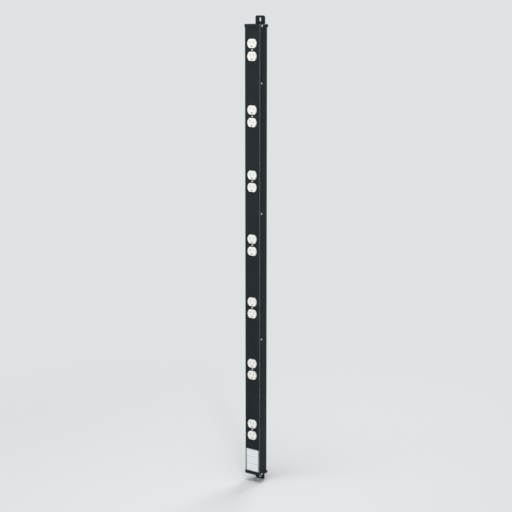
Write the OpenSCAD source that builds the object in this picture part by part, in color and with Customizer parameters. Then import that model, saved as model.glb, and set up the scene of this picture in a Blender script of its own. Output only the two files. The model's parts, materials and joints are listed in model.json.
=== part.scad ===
// Vertical rack power strip: a folded steel case with a column of duplex receptacles,
// and a supply inlet with a push-to-reset breaker in its lower end.
// Millimetres. x runs to the right, the front faces -y and z is up. The origin lies on
// the wall plane, midway between the two mounting slots.

/* [Case] */
// Width over the front cover
case_w = 58; // [56:1:80]
// Depth from the back wall to the cover's front
case_d = 41; // [40:1:60]
// Thickness of the case's steel sheet
sheet_t = 1.2; // [0.9:0.1:1.6]
// Outside radius of the bends in the sheet
bend_r = 2.4; // [2:0.1:4]
// How far the cover's side flanges reach back
cover_reach = 16; // [12:1:24]
// Gap between the cover and the channel inside it
cover_gap = 0.2; // [0.1:0.05:0.4]
// Thickness of the end caps
cap_t = 1.5; // [1:0.1:2.5]
// How far an end cap's lips reach over the case
cap_lip = 8; // [7:0.5:9.5]
// Gap between an end cap's lips and the case
cap_gap = 0.2; // [0.1:0.05:0.4]

/* [Receptacles] */
// Number of duplex receptacles
duplex_count = 7; // [2:1:7]
// Distance from one duplex to the next
duplex_pitch = 203.2; // [140:0.1:260]
// Distance from the top end to the first duplex
top_blank = 76.2; // [68:0.1:140]
// Distance from the last duplex to the bottom end
supply_blank = 152.4; // [151:0.1:220]
// Distance between the two outlets of a duplex
outlet_spacing = 38.9; // [37:0.1:42]
// Diameter of an outlet's round sides
outlet_w = 33.4; // [32:0.1:35]
// Height of an outlet between its flats
outlet_h = 28; // [26:0.1:29]
// How far an outlet stands proud of the cover
outlet_proud = 4; // [2:0.1:6]
// Gap around an outlet in its opening
opening_gap = 0.35; // [0.2:0.05:0.8]
// Thickness of the face moulding behind the cover
face_t = 2; // [1.6:0.1:3]
// Depth of the body moulding
body_d = 20; // [18:0.5:24]
// Length of the steel strap
strap_l = 104; // [96:1:110]
// Width of the strap's ears
ear_w = 20; // [16:1:24]
// Thickness of the strap
strap_t = 1.2; // [1:0.1:1.6]
// Reach of the centre screw past the strap
centre_tip = 3; // [2:0.5:5]

/* [Outlet slots and contacts] */
// Distance between the two blade slots
blade_spacing = 12.7; // [12:0.1:13.5]
// Width of a blade slot
slot_w = 2.2; // [2:0.1:2.6]
// Height of the neutral slot
neutral_slot_h = 9; // [8:0.1:9.6]
// Height of the line slot
line_slot_h = 7.2; // [6.4:0.1:8]
// Height of the blade slots above an outlet's centre
blade_rise = 3.2; // [2.6:0.1:4]
// Drop from the blade slots to the earth hole
earth_drop = 11.9; // [11:0.1:12.4]
// Width of the arched earth hole
earth_w = 5.8; // [5.4:0.1:6.2]
// Height of the earth hole's square upper part
earth_arch = 2.4; // [2:0.1:2.8]
// Bore of the earth contact sleeve
sleeve_bore = 5; // [4.8:0.1:5.4]
// Length of the earth contact sleeve
sleeve_l = 10; // [8:0.5:12]
// Space between the two leaves of a blade contact
leaf_gap = 1.6; // [1.4:0.1:1.8]
// Thickness of the contact metal
leaf_t = 0.7; // [0.5:0.05:0.9]
// Depth of a blade contact
contact_d = 12; // [10:0.5:14]
// Height of one pair of contact leaves
leaf_h = 10; // [9.6:0.1:10.6]
// Space in front of the contacts, where the blades find their way
contact_lead = 1; // [0.5:0.1:2]
// Wall between the strap's groove and a contact's pocket
groove_rib = 0.65; // [0.5:0.05:0.9]
// Clearance around inserted pieces in the mouldings
insert_gap = 0.2; // [0.1:0.05:0.3]

/* [Screws and wiring] */
// Thread diameter of every small screw
screw_d = 3.5; // [3:0.1:4]
// Head diameter of the case screws
head_d = 6.6; // [6:0.1:7]
// Head height of the case screws
head_h = 2; // [1.6:0.1:2.6]
// Radial clearance where a screw passes freely
pass_gap = 0.25; // [0.15:0.05:0.4]
// Radial clearance in a tapped hole
tap_gap = 0.05; // [0.03:0.01:0.1]
// Reach of a screw past the sheet that it is tapped into
screw_tip = 1.2; // [0.8:0.1:2]
// Head diameter of the terminal screws
terminal_head_d = 8.2; // [8:0.1:8.6]
// Head height of the terminal screws
terminal_head_h = 2; // [1.6:0.1:2.4]
// Reach of a terminal screw behind its plate
terminal_tip = 4.5; // [3:0.5:5]
// Reach of an earth terminal screw past the strap
earth_tip = 0.5; // [0.3:0.1:0.8]
// Distance between the two terminal screws of a side
terminal_spacing = 26; // [22:0.5:30]
// Thickness of the terminal plates
terminal_t = 0.8; // [0.6:0.1:1.2]
// Width of the terminal plates
terminal_w = 9; // [8.4:0.1:9.6]
// Length of a terminal plate past its screws
terminal_margin = 5; // [4.5:0.1:6]
// Distance from the face moulding back to the terminal screws
terminal_depth = 9; // [8:0.1:10]
// Height of the tab between a contact and its terminal plate
contact_tab_h = 8; // [6:0.5:10]
// Diameter of the insulated conductors
wire_d = 2.6; // [2.2:0.1:2.8]
// Length of a conductor past its terminal screw
wire_tail = 3; // [2:0.5:4]
// Straight run of a lead up to its first bend
lead_rise = 17; // [16:0.5:20]
// Distance from a receptacle to where a supply lead turns up along its side
lead_turn = 6; // [4:0.5:10]
// How much of each corner a lead's bend cuts off
corner_cut = 5; // [4:0.5:7]

/* [Supply end] */
// Diameter of the supply inlet's hole
inlet_d = 22.2; // [20:0.1:23]
// Bore of the inlet's bushing
bushing_bore = 16; // [12:0.5:17]
// Diameter of the bushing's rim
bushing_rim_d = 25.4; // [24.8:0.1:26]
// Thickness of the bushing's rim
bushing_rim_t = 2; // [1.5:0.1:3]
// How far the bushing's snap lip stands out
bushing_lip = 0.5; // [0.3:0.1:0.8]
// Length of the bushing past the inside of the end cap
bushing_lip_l = 2; // [1.5:0.1:3]
// Diameter of the breaker's threaded neck
neck_d = 11; // [10:0.1:12]
// Length of the neck past the end cap
neck_reach = 6; // [4.5:0.1:8]
// Size of the breaker's nut across its flats
nut_af = 14; // [13.5:0.1:15]
// Thickness of the breaker's nut
nut_t = 3; // [2:0.1:3.5]
// Width of the breaker's case
breaker_w = 15; // [14:0.5:16]
// Depth of the breaker's case
breaker_d = 22; // [20:0.5:24]
// Height of the breaker's case
breaker_h = 30; // [26:0.5:32]
// Space between the breaker and the channel's wall
breaker_gap = 2; // [1:0.1:3]
// Thickness of the breaker's tabs
tab_t = 0.8; // [0.6:0.1:1]
// Width of the breaker's tabs
tab_w = 6.3; // [4.8:0.1:6.5]
// Length of the breaker's tabs
tab_l = 8; // [6:0.5:10]
// Distance between the breaker's tabs
tab_spacing = 12; // [10:0.5:14]
// Diameter of the reset button
button_d = 7; // [6:0.1:7.6]
// How far the button stands out of the neck when set
button_out = 3; // [2.5:0.1:5]
// Running clearance of the button in the neck
button_gap = 0.3; // [0.2:0.05:0.4]
// Length of the button past the neck, inside the breaker
button_guide = 10; // [6:0.5:14]
// How much further the set button can be pressed in
button_press = 0.8; // [0.5:0.1:1.5]
// Chamfer around the button's end
button_crown = 0.8; // [0.5:0.1:1.2]
// Distance from the bottom end to the terminal block's middle
block_rise = 72; // [70:1:76]
// Gap between the block's sides and the bends of the channel
block_gap = 0.2; // [0.1:0.1:1]
// Gap between the block's barriers and the screw heads and conductors of a pole
pole_gap = 0.2; // [0.1:0.05:0.4]
// Thickness of the block's barriers
barrier_t = 1.2; // [1:0.1:1.6]
// Height of the block's base
block_h = 8; // [6.5:0.5:9]
// Height of the barriers above the base
barrier_h = 6; // [4:0.5:7]
// Length of the block
block_l = 24; // [22:0.5:26]
// Thickness of a pole's plate
pole_plate_t = 1; // [0.8:0.1:1.4]
// Length of a pole's plate
pole_plate_l = 20; // [18:0.5:21]
// Distance from the block's middle to a pole's screws
pole_screw_rise = 6; // [5:0.1:6.5]
// Reach of a pole's screw behind its plate
pole_tip = 4; // [3:0.5:5]
// Distance from the block's middle down to the bonding screw
bond_drop = 30; // [28:0.5:34]

/* [Mounting and label] */
// Thickness of the mounting brackets
bracket_t = 2; // [1.5:0.1:3]
// Width of the mounting brackets
bracket_w = 36; // [30:1:44]
// Overlap of a bracket on the case
bracket_lap = 30; // [24:1:34]
// Distance from a bracket's side to its screws
bracket_screw_inset = 8; // [6:0.5:11]
// Radius of a bracket's corners
bracket_corner_r = 6; // [3:0.5:10]
// Width of the mounting slots
mount_slot_w = 6.4; // [5.5:0.1:7]
// Length of the mounting slots
mount_slot_l = 12; // [9:0.5:14]
// Distance from the case's end to a slot's centre
slot_reach = 15; // [13:0.5:22]
// Metal past a slot's centre
slot_end = 12; // [10:0.5:16]
// Width of the blank rating plate
plate_w = 48; // [40:1:50]
// Height of the blank rating plate
plate_h = 74; // [50:1:76]
// Thickness of the blank rating plate
plate_t = 0.4; // [0.2:0.05:0.8]
// Radius of the blank rating plate's corners
plate_corner_r = 2; // [1:0.5:5]
// Distance from the bottom end to the plate's lower edge
plate_rise = 10.4; // [10:0.1:14]

/* [Hidden] */
$fn = 48;

// Over-length of a cutting tool past the surface that it leaves
past = 1;
// Straight steps in one bend of the sheet
bend_steps = 6;

// Planes through the depth, from the wall to the front
y_wall = 0;
y_back = y_wall - bracket_t;
y_floor = y_back - sheet_t;
y_front = y_back - case_d;
y_lid = y_front + sheet_t;
y_mid = (y_back + y_front) / 2;
y_boss = y_front - outlet_proud;
y_face_back = y_lid + face_t;
y_strap_back = y_face_back + strap_t;
y_body_back = y_face_back + body_d;

// The case's length follows from the receptacles and the blank ends
case_l = top_blank + (duplex_count - 1) * duplex_pitch + supply_blank;
z_top = case_l / 2;
z_bottom = -case_l / 2;
function duplex_z(k) = z_top - top_blank - (k - 1) * duplex_pitch;
z_last = duplex_z(duplex_count);

// Channel inside the cover
inner_bend_r = bend_r - sheet_t;
channel_w = case_w - 2 * (sheet_t + cover_gap);
y_channel_rim = y_lid + inner_bend_r;
y_bend = y_back - bend_r;

// Side screws: cover screws in every second space between receptacles, cap screws in the lips
y_side_screw = y_front + cover_reach / 2;
cover_screw_z = [for (k = [1:2:duplex_count - 1]) (duplex_z(k) + duplex_z(k + 1)) / 2];
cap_screw_z = [z_top - cap_lip / 2, z_bottom + cap_lip / 2];
screw_r = screw_d / 2;

// Duplex receptacle
body_w = outlet_w;
body_h = outlet_spacing + outlet_h;
outlet_z = [outlet_spacing / 2, -outlet_spacing / 2];
blade_x = blade_spacing / 2;
earth_z = blade_rise - earth_drop;
earth_r = earth_w / 2;
leaf_in = blade_x - leaf_gap / 2 - leaf_t;
leaf_out = blade_x + leaf_gap / 2 + leaf_t;
strap_w = 2 * (leaf_in - 2 * insert_gap - groove_rib);
strap_ear_h = (strap_l - body_h) / 2 - insert_gap;
y_contact_front = y_face_back + contact_lead;
y_contact_back = y_contact_front + contact_d;
contact_l = outlet_spacing + leaf_h;
sleeve_r = sleeve_bore / 2 + leaf_t;

// Terminals at the sides of a duplex
y_terminal = y_face_back + terminal_depth;
terminal_z = terminal_spacing / 2;
terminal_x = body_w / 2 + terminal_t;
terminal_screw_l = wire_d + terminal_t + terminal_tip;
wire_r = wire_d / 2;
wire_lay = screw_r + wire_r + tap_gap;
wire_x = terminal_x + wire_r;
y_wire = y_terminal + wire_lay;
earth_screw_z = (strap_l - terminal_head_d) / 2 - tap_gap;
earth_screw_l = wire_d + strap_t + earth_tip;
y_earth_wire = y_strap_back + wire_r;

// Supply end
cap_inside = channel_w / 2 - sheet_t;
inlet_x = -(cap_inside - bushing_rim_d / 2);
breaker_x = cap_inside - breaker_w / 2 - breaker_gap;
z_cap_out = z_bottom - cap_t;
z_breaker_top = z_bottom + breaker_h;
button_l = neck_reach + button_out + button_guide;
z_button_top = z_cap_out - neck_reach - button_out + button_l;
z_block = z_bottom + block_rise;
pole_count = 3;
pole_w = max(terminal_head_d, 2 * (wire_lay + wire_r)) + 2 * pole_gap;
pole_pitch = pole_w + barrier_t;
pole_screw_l = wire_d + pole_plate_t + pole_tip;
block_w = 2 * (cap_inside - inner_bend_r - block_gap);
block_screw_x = (pole_count * pole_pitch + barrier_t + head_d) / 2 + pole_gap;
y_pole = y_floor - block_h - pole_plate_t;
y_pole_wire = y_pole - wire_r;
bond_z = z_block - bond_drop;
function pole_x(i) = (i - (pole_count + 1) / 2) * pole_pitch;

// Brackets
bracket_screw_x = bracket_w / 2 - bracket_screw_inset;
bracket_screw_drop = bracket_lap / 2;
slot_z = z_top + slot_reach;

// Finishes
coat = [0.07, 0.075, 0.075];
zinc = [0.75, 0.75, 0.72];
brass = [0.78, 0.62, 0.30];
ivory = [0.95, 0.95, 0.93];
phenolic = [0.12, 0.12, 0.12];

// Helpers

module slab(x0, x1, y0, y1, z0, z1) {
    translate([x0, y0, z0]) cube([x1 - x0, y1 - y0, z1 - z0]);
}

// Upright plate with round corners
module round_slab(half_w, y0, y1, z0, z1, r) {
    slab(-half_w, half_w, y0, y1, z0 + r, z1 - r);
    slab(r - half_w, half_w - r, y0, y1, z0, z1);
    for (side = [1, -1], z = [z0 + r, z1 - r])
        translate([side * (half_w - r), 0, z]) bar_y(r, y0, y1);
}

// Round bar along y, from y0 forward of y1
module bar_y(r, y0, y1) {
    translate([0, y1, 0]) rotate([90, 0, 0]) cylinder(h = y1 - y0, r = r);
}

// Round bar along x
module bar_x(r, x0, x1) {
    translate([x0, 0, 0]) rotate([0, 90, 0]) cylinder(h = x1 - x0, r = r);
}

function arc(x, y, r, a0, a1) = [
    for (i = [0:bend_steps])
        let (a = a0 + (a1 - a0) * i / bend_steps) [x + r * cos(a), y + r * sin(a)]
];

// Two round corners at y_round and the straight line between them; s is the way they open
function bends(half_w, y_round, s, r) = concat(
    arc(half_w - r, y_round + s * r, r, 0, -90 * s),
    arc(r - half_w, y_round + s * r, r, -90 * s, -180 * s)
);

// Outline with round corners at y_round and square ends at y_open
function tray_outline(half_w, y_round, y_open, r) = concat(
    [[half_w, y_open]],
    bends(half_w, y_round, sign(y_open - y_round), r),
    [[-half_w, y_open]]
);

module tray(half_w, y_round, y_open, r, z0, z1) {
    translate([0, 0, z0])
        linear_extrude(height = z1 - z0) polygon(tray_outline(half_w, y_round, y_open, r));
}

// Pan head screw, its head seated on z = 0 and pointing up
module pan_screw(l, d_head, h_head) {
    recess_w = 0.16 * d_head;
    recess_l = 0.6 * d_head;
    crown_d = 0.7 * d_head;
    difference() {
        union() {
            translate([0, 0, -l]) cylinder(h = l + h_head / 2, d = screw_d);
            cylinder(h = h_head / 2, d = d_head);
            translate([0, 0, h_head / 2])
                cylinder(h = h_head / 2, d1 = d_head, d2 = crown_d);
        }
        for (a = [0, 90])
            rotate([0, 0, a])
                translate([-recess_l / 2, -recess_w / 2, h_head / 2])
                    cube([recess_l, recess_w, h_head]);
    }
}

// Turns a screw so that its head points to the front, the back, or a side
module head_front() { rotate([90, 0, 0]) children(); }
module head_back() { rotate([-90, 0, 0]) children(); }
module head_side(side) { rotate([0, 90 * side, 0]) children(); }

module each_duplex() {
    for (k = [1:duplex_count]) translate([0, 0, duplex_z(k)]) children();
}

module each_outlet() {
    for (z = outlet_z) translate([0, 0, z]) children();
}

// Outline of an outlet: round sides and flat top and bottom
module outlet_form(w, h, y0, y1) {
    intersection() {
        bar_y(w / 2, y0, y1);
        slab(-w, w, y0 - past, y1 + past, -h / 2, h / 2);
    }
}

module side_holes(r, heights) {
    for (z = heights)
        translate([0, y_side_screw, z]) bar_x(r, -case_w, case_w);
}

// Conductor swept along a path of points, with each corner rounded
wire_sides = 8;
corner_steps = 4;
function unit(v) = v / norm(v);
function rounded(p) = concat(
    [p[0]],
    [for (i = [1:len(p) - 2])
        let (
            a = p[i] + corner_cut * unit(p[i - 1] - p[i]),
            b = p[i] + corner_cut * unit(p[i + 1] - p[i])
        )
        for (j = [0:corner_steps])
            let (t = j / corner_steps)
            (1 - t) * (1 - t) * a + 2 * t * (1 - t) * p[i] + t * t * b],
    [p[len(p) - 1]]
);
function wire_ring(p, i) =
    let (
        along = unit(p[min(i + 1, len(p) - 1)] - p[max(i - 1, 0)]),
        side = unit(cross(along, [1, 0, 0])),
        up = cross(along, side)
    )
    [for (j = [0:wire_sides - 1])
        let (a = 360 * j / wire_sides) p[i] + wire_r * (cos(a) * side + sin(a) * up)];

module lead(points) {
    p = rounded(points);
    n = len(p);
    rings = [for (i = [0:n - 1]) each wire_ring(p, i)];
    function at(i, j) = i * wire_sides + j % wire_sides;
    walls = [
        for (i = [0:n - 2], j = [0:wire_sides - 1], half = [0, 1])
            half == 0
                ? [at(i, j), at(i + 1, j), at(i + 1, j + 1)]
                : [at(i, j), at(i + 1, j + 1), at(i, j + 1)]
    ];
    ends = [
        for (j = [1:wire_sides - 2], last = [0, 1])
            last == 0
                ? [at(0, 0), at(0, j), at(0, j + 1)]
                : [at(n - 1, 0), at(n - 1, j + 1), at(n - 1, j)]
    ];
    polyhedron(points = rings, faces = concat(walls, ends));
}

// Straight conductors from each duplex down to the next
module links(x, y, reach) {
    for (k = [1:duplex_count - 1])
        translate([x, y, duplex_z(k + 1) + reach])
            cylinder(h = duplex_pitch - 2 * reach, d = wire_d);
}

// Case

// The channel is one folded sheet. Its walls are nodes of their own, parted where the bends
// end, because a hull around all of it would fill the space inside
module channel_wall(side) {
    outside = side * channel_w / 2;
    inside = side * cap_inside;
    color(coat) difference() {
        slab(min(outside, inside), max(outside, inside), y_channel_rim, y_bend,
             z_bottom, z_top);
        side_holes(screw_r + tap_gap, concat(cover_screw_z, cap_screw_z));
    }
}

module channel_left_wall() {
    channel_wall(-1);
}

module channel_right_wall() {
    channel_wall(1);
}

module back_channel() {
    outside = bends(channel_w / 2, y_back, -1, bend_r);
    inside = bends(cap_inside, y_floor, -1, inner_bend_r);
    folded = concat(outside, [for (i = [len(inside) - 1:-1:0]) inside[i]]);
    color(coat) difference() {
        translate([0, 0, z_bottom]) linear_extrude(height = case_l) polygon(folded);
        for (end = [1, -1], side = [1, -1])
            translate([side * bracket_screw_x, 0, end * (z_top - bracket_screw_drop)])
                bar_y(screw_r + pass_gap, y_floor - past, y_back + past);
        for (side = [1, -1])
            translate([side * block_screw_x, 0, z_block])
                bar_y(screw_r + tap_gap, y_floor - past, y_back + past);
        translate([0, 0, bond_z]) bar_y(screw_r + tap_gap, y_floor - past, y_back + past);
    }
}

module front_cover() {
    color(coat) difference() {
        tray(case_w / 2, y_front, y_front + cover_reach, bend_r, z_bottom, z_top);
        tray(case_w / 2 - sheet_t, y_lid, y_front + cover_reach + past, inner_bend_r,
             z_bottom - past, z_top + past);
        side_holes(screw_r + pass_gap, concat(cover_screw_z, cap_screw_z));
        each_duplex() {
            each_outlet()
                outlet_form(outlet_w + 2 * opening_gap, outlet_h + 2 * opening_gap,
                            y_front - past, y_lid + past);
            bar_y(screw_r + pass_gap, y_front - past, y_lid + past);
        }
    }
}

// Shallow lid with lips on the front and both sides, closing the case's upper end
module end_cap_blank() {
    difference() {
        tray(case_w / 2 + cap_gap + cap_t, y_front - cap_gap - cap_t, y_back,
             bend_r + cap_gap + cap_t, z_top - cap_lip, z_top + cap_t);
        tray(case_w / 2 + cap_gap, y_front - cap_gap, y_back + past, bend_r + cap_gap,
             z_top - cap_lip - past, z_top);
        side_holes(screw_r + pass_gap, [cap_screw_z[0]]);
    }
}

module top_end_cap() {
    color(coat) end_cap_blank();
}

module bottom_end_cap() {
    color(coat) difference() {
        mirror([0, 0, 1]) end_cap_blank();
        translate([inlet_x, y_mid, z_cap_out - past])
            cylinder(h = cap_t + 2 * past, d = inlet_d);
        translate([breaker_x, y_mid, z_cap_out - past])
            cylinder(h = cap_t + 2 * past, r = neck_d / 2 + pass_gap);
    }
}

// Flat steel bracket behind the case's upper end, with one vertical slot past the end
module bracket_blank() {
    slot_straight = (mount_slot_l - mount_slot_w) / 2;
    difference() {
        round_slab(bracket_w / 2, y_back, y_wall, z_top - bracket_lap, slot_z + slot_end,
                   bracket_corner_r);
        for (end = [1, -1])
            translate([0, 0, slot_z + end * slot_straight])
                bar_y(mount_slot_w / 2, y_back - past, y_wall + past);
        slab(-mount_slot_w / 2, mount_slot_w / 2, y_back - past, y_wall + past,
             slot_z - slot_straight, slot_z + slot_straight);
        for (side = [1, -1])
            translate([side * bracket_screw_x, 0, z_top - bracket_screw_drop])
                bar_y(screw_r + tap_gap, y_back - past, y_wall + past);
    }
}

module top_bracket() {
    color(coat) bracket_blank();
}

module bottom_bracket() {
    color(coat) mirror([0, 0, 1]) bracket_blank();
}

module bracket_screws() {
    color(zinc)
        for (end = [1, -1], side = [1, -1])
            translate([side * bracket_screw_x, y_floor, end * (z_top - bracket_screw_drop)])
                head_front() pan_screw(sheet_t + bracket_t, head_d, head_h);
}

// A side screw holds the cover's flange, or a cap's lip over it, to the channel's wall
module side_screws(heights, x_seat, l) {
    color(zinc)
        for (z = heights, side = [1, -1])
            translate([side * x_seat, y_side_screw, z])
                head_side(side) pan_screw(l, head_d, head_h);
}

module cover_screws() {
    side_screws(cover_screw_z, case_w / 2, 2 * sheet_t + cover_gap + screw_tip);
}

module end_cap_screws() {
    side_screws(cap_screw_z, case_w / 2 + cap_gap + cap_t,
                cap_t + cap_gap + 2 * sheet_t + cover_gap + screw_tip);
}

module rating_plate() {
    z_low = z_bottom + plate_rise;
    color("white")
        round_slab(plate_w / 2, y_front - plate_t, y_front, z_low, z_low + plate_h, plate_corner_r);
}

// Receptacles

// Arched earth hole and two blade slots, cut through the moulding
module outlet_slots() {
    y0 = y_boss - past;
    y1 = y_face_back + past;
    slab(blade_x - slot_w / 2, blade_x + slot_w / 2, y0, y1,
         blade_rise - line_slot_h / 2, blade_rise + line_slot_h / 2);
    slab(-blade_x - slot_w / 2, -blade_x + slot_w / 2, y0, y1,
         blade_rise - neutral_slot_h / 2, blade_rise + neutral_slot_h / 2);
    translate([0, 0, earth_z]) bar_y(earth_r, y0, y1);
    slab(-earth_r, earth_r, y0, y1, earth_z, earth_z + earth_arch);
}

module duplex_face(k) {
    color(ivory) translate([0, 0, duplex_z(k)]) difference() {
        union() {
            slab(-body_w / 2, body_w / 2, y_lid, y_face_back, -body_h / 2, body_h / 2);
            each_outlet() outlet_form(outlet_w, outlet_h, y_boss, y_lid + face_t / 2);
        }
        each_outlet() outlet_slots();
        bar_y(screw_r + pass_gap, y_lid - past, y_face_back + past);
    }
}

// Contact pocket and terminal notch on one side of the body
module body_pocket(side) {
    x_tool = body_w / 2 + past;
    mirror([side < 0 ? 1 : 0, 0, 0]) {
        slab(leaf_in - insert_gap, leaf_out + insert_gap, y_face_back - past, y_contact_back,
             -contact_l / 2 - insert_gap + blade_rise, contact_l / 2 + insert_gap + blade_rise);
        slab(leaf_out, x_tool, y_face_back - past, y_terminal + terminal_t / 2,
             -contact_tab_h / 2 - insert_gap, contact_tab_h / 2 + insert_gap);
        for (end = [1, -1])
            translate([0, y_terminal, end * terminal_z])
                bar_x(screw_r + pass_gap, body_w / 2 - terminal_screw_l, x_tool);
    }
}

module duplex_body(k) {
    color(ivory) translate([0, 0, duplex_z(k)]) difference() {
        slab(-body_w / 2, body_w / 2, y_face_back, y_body_back, -body_h / 2, body_h / 2);
        slab(-strap_w / 2 - insert_gap, strap_w / 2 + insert_gap, y_face_back - past,
             y_strap_back, -body_h, body_h);
        for (side = [1, -1]) body_pocket(side);
        each_outlet() translate([0, 0, earth_z])
            bar_y(sleeve_r + insert_gap, y_face_back - past, y_strap_back + sleeve_l);
        bar_y(screw_r + pass_gap, y_face_back - past, y_strap_back + centre_tip + insert_gap);
    }
}

// Steel strap between the two mouldings, with an ear past each end
module duplex_strap(k) {
    color(zinc) translate([0, 0, duplex_z(k)]) difference() {
        union() {
            slab(-strap_w / 2, strap_w / 2, y_face_back, y_strap_back, -strap_l / 2, strap_l / 2);
            for (end = [1, -1])
                translate([0, 0, end * (strap_l - strap_ear_h) / 2])
                    slab(-ear_w / 2, ear_w / 2, y_face_back, y_strap_back,
                         -strap_ear_h / 2, strap_ear_h / 2);
        }
        each_outlet() translate([0, 0, earth_z])
            bar_y(earth_r, y_face_back - past, y_strap_back + past);
        bar_y(screw_r + tap_gap, y_face_back - past, y_strap_back + past);
        for (end = [1, -1])
            translate([0, 0, end * earth_screw_z])
                bar_y(screw_r + tap_gap, y_face_back - past, y_strap_back + past);
    }
}

// Screw between the two outlets, which holds the receptacle up to the cover
module centre_screws() {
    color(zinc) each_duplex()
        translate([0, y_front, 0])
            head_front() pan_screw(sheet_t + face_t + strap_t + centre_tip, head_d, head_h);
}

// One side's contact: a leaf spring pair at each outlet, a bar that joins them and a terminal plate
module blade_contact(side) {
    mirror([side < 0 ? 1 : 0, 0, 0]) difference() {
        union() {
            slab(leaf_out - leaf_t, leaf_out, y_contact_front, y_contact_back,
                 blade_rise - contact_l / 2, blade_rise + contact_l / 2);
            each_outlet() translate([0, 0, blade_rise]) {
                slab(leaf_in, leaf_in + leaf_t, y_contact_front, y_contact_back,
                     -leaf_h / 2, leaf_h / 2);
                slab(leaf_in, leaf_out, y_contact_back - leaf_t, y_contact_back,
                     -leaf_h / 2, leaf_h / 2);
            }
            slab(leaf_out - leaf_t / 2, terminal_x - terminal_t / 2, y_terminal - terminal_t / 2,
                 y_terminal + terminal_t / 2, -contact_tab_h / 2, contact_tab_h / 2);
            slab(body_w / 2, terminal_x, y_terminal - terminal_w / 2, y_terminal + terminal_w / 2,
                 -terminal_z - terminal_margin, terminal_z + terminal_margin);
        }
        for (end = [1, -1])
            translate([0, y_terminal, end * terminal_z])
                bar_x(screw_r + tap_gap, body_w / 2 - past, terminal_x + past);
    }
}

module line_contacts() {
    color(brass) each_duplex() blade_contact(1);
}

module neutral_contacts() {
    color(zinc) each_duplex() blade_contact(-1);
}

module earth_contacts() {
    color(brass) each_duplex() each_outlet()
        translate([0, 0, earth_z]) difference() {
            bar_y(sleeve_r, y_strap_back, y_strap_back + sleeve_l);
            bar_y(sleeve_bore / 2, y_strap_back - past, y_strap_back + sleeve_l + past);
        }
}

module terminal_screws(side) {
    each_duplex() for (end = [1, -1])
        translate([side * (terminal_x + wire_d), y_terminal, end * terminal_z])
            head_side(side) pan_screw(terminal_screw_l, terminal_head_d, terminal_head_h);
}

module line_terminal_screws() {
    color(brass) terminal_screws(1);
}

module neutral_terminal_screws() {
    color(zinc) terminal_screws(-1);
}

module earth_terminal_screws() {
    color("green") each_duplex() for (end = [1, -1])
        translate([0, y_strap_back + wire_d, end * earth_screw_z])
            head_back() pan_screw(earth_screw_l, terminal_head_d, terminal_head_h);
}

// Conductors

// Height at which a supply lead turns up along a receptacle's side
z_turn = z_last - body_h / 2 - lead_turn;
z_tab_top = z_breaker_top + tab_l;

module line_wires() {
    x_pole = pole_x(pole_count) + wire_lay;
    y_in = y_mid + (tab_spacing + tab_t) / 2 + wire_r;
    y_out = y_mid - (tab_spacing + tab_t) / 2 - wire_r;
    color("black") {
        links(wire_x, y_wire, terminal_z - wire_tail);
        lead([[x_pole, y_pole_wire, z_block - pole_screw_rise + wire_tail],
              [x_pole, y_pole_wire, z_block - lead_rise],
              [breaker_x, y_in, z_tab_top + past],
              [breaker_x, y_in, z_breaker_top + past]]);
        lead([[breaker_x, y_out, z_breaker_top + past],
              [breaker_x, y_out, z_tab_top + lead_rise],
              [wire_x, y_wire, z_turn],
              [wire_x, y_wire, z_last - terminal_z + wire_tail]]);
    }
}

module neutral_wires() {
    x_pole = pole_x(1) - wire_lay;
    color("white") {
        links(-wire_x, y_wire, terminal_z - wire_tail);
        lead([[x_pole, y_pole_wire, z_block + pole_screw_rise - wire_tail],
              [x_pole, y_pole_wire, z_block + lead_rise],
              [-wire_x, y_wire, z_turn],
              [-wire_x, y_wire, z_last - terminal_z + wire_tail]]);
    }
}

module earth_wires() {
    y_bond = y_floor - wire_r;
    color("green") {
        links(wire_lay, y_earth_wire, earth_screw_z - wire_tail);
        lead([[wire_lay, y_pole_wire, z_block + pole_screw_rise - wire_tail],
              [wire_lay, y_pole_wire, z_block + lead_rise],
              [wire_lay, y_earth_wire, z_last - strap_l / 2 - corner_cut],
              [wire_lay, y_earth_wire, z_last - earth_screw_z + wire_tail]]);
        lead([[-wire_lay, y_pole_wire, z_block - pole_screw_rise + wire_tail],
              [-wire_lay, y_pole_wire, z_block - lead_rise],
              [-wire_lay, y_bond, bond_z + terminal_head_d],
              [-wire_lay, y_bond, bond_z - wire_tail]]);
    }
}

// Supply end

module terminal_block() {
    color(phenolic) difference() {
        union() {
            slab(-block_w / 2, block_w / 2, y_floor - block_h, y_floor,
                 z_block - block_l / 2, z_block + block_l / 2);
            for (i = [0:pole_count])
                translate([(i - pole_count / 2) * pole_pitch, 0, z_block])
                    slab(-barrier_t / 2, barrier_t / 2, y_floor - block_h - barrier_h,
                         y_floor - block_h / 2, -block_l / 2, block_l / 2);
        }
        for (i = [1:pole_count], end = [1, -1])
            translate([pole_x(i), 0, z_block + end * pole_screw_rise])
                bar_y(screw_r + pass_gap, y_pole - past, y_pole + pole_screw_l);
        for (side = [1, -1])
            translate([side * block_screw_x, 0, z_block])
                bar_y(screw_r + pass_gap, y_floor - block_h - past, y_floor + past);
    }
}

module pole_plates() {
    half_w = pole_w / 2 - insert_gap;
    color(brass) for (i = [1:pole_count])
        translate([pole_x(i), 0, z_block]) difference() {
            slab(-half_w, half_w, y_pole, y_pole + pole_plate_t,
                 -pole_plate_l / 2, pole_plate_l / 2);
            for (end = [1, -1])
                translate([0, 0, end * pole_screw_rise])
                    bar_y(screw_r + tap_gap, y_pole - past, y_pole + pole_plate_t + past);
        }
}

module pole_screws() {
    color(zinc) for (i = [1:pole_count], end = [1, -1])
        translate([pole_x(i), y_pole - wire_d, z_block + end * pole_screw_rise])
            head_front() pan_screw(pole_screw_l, terminal_head_d, terminal_head_h);
}

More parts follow.
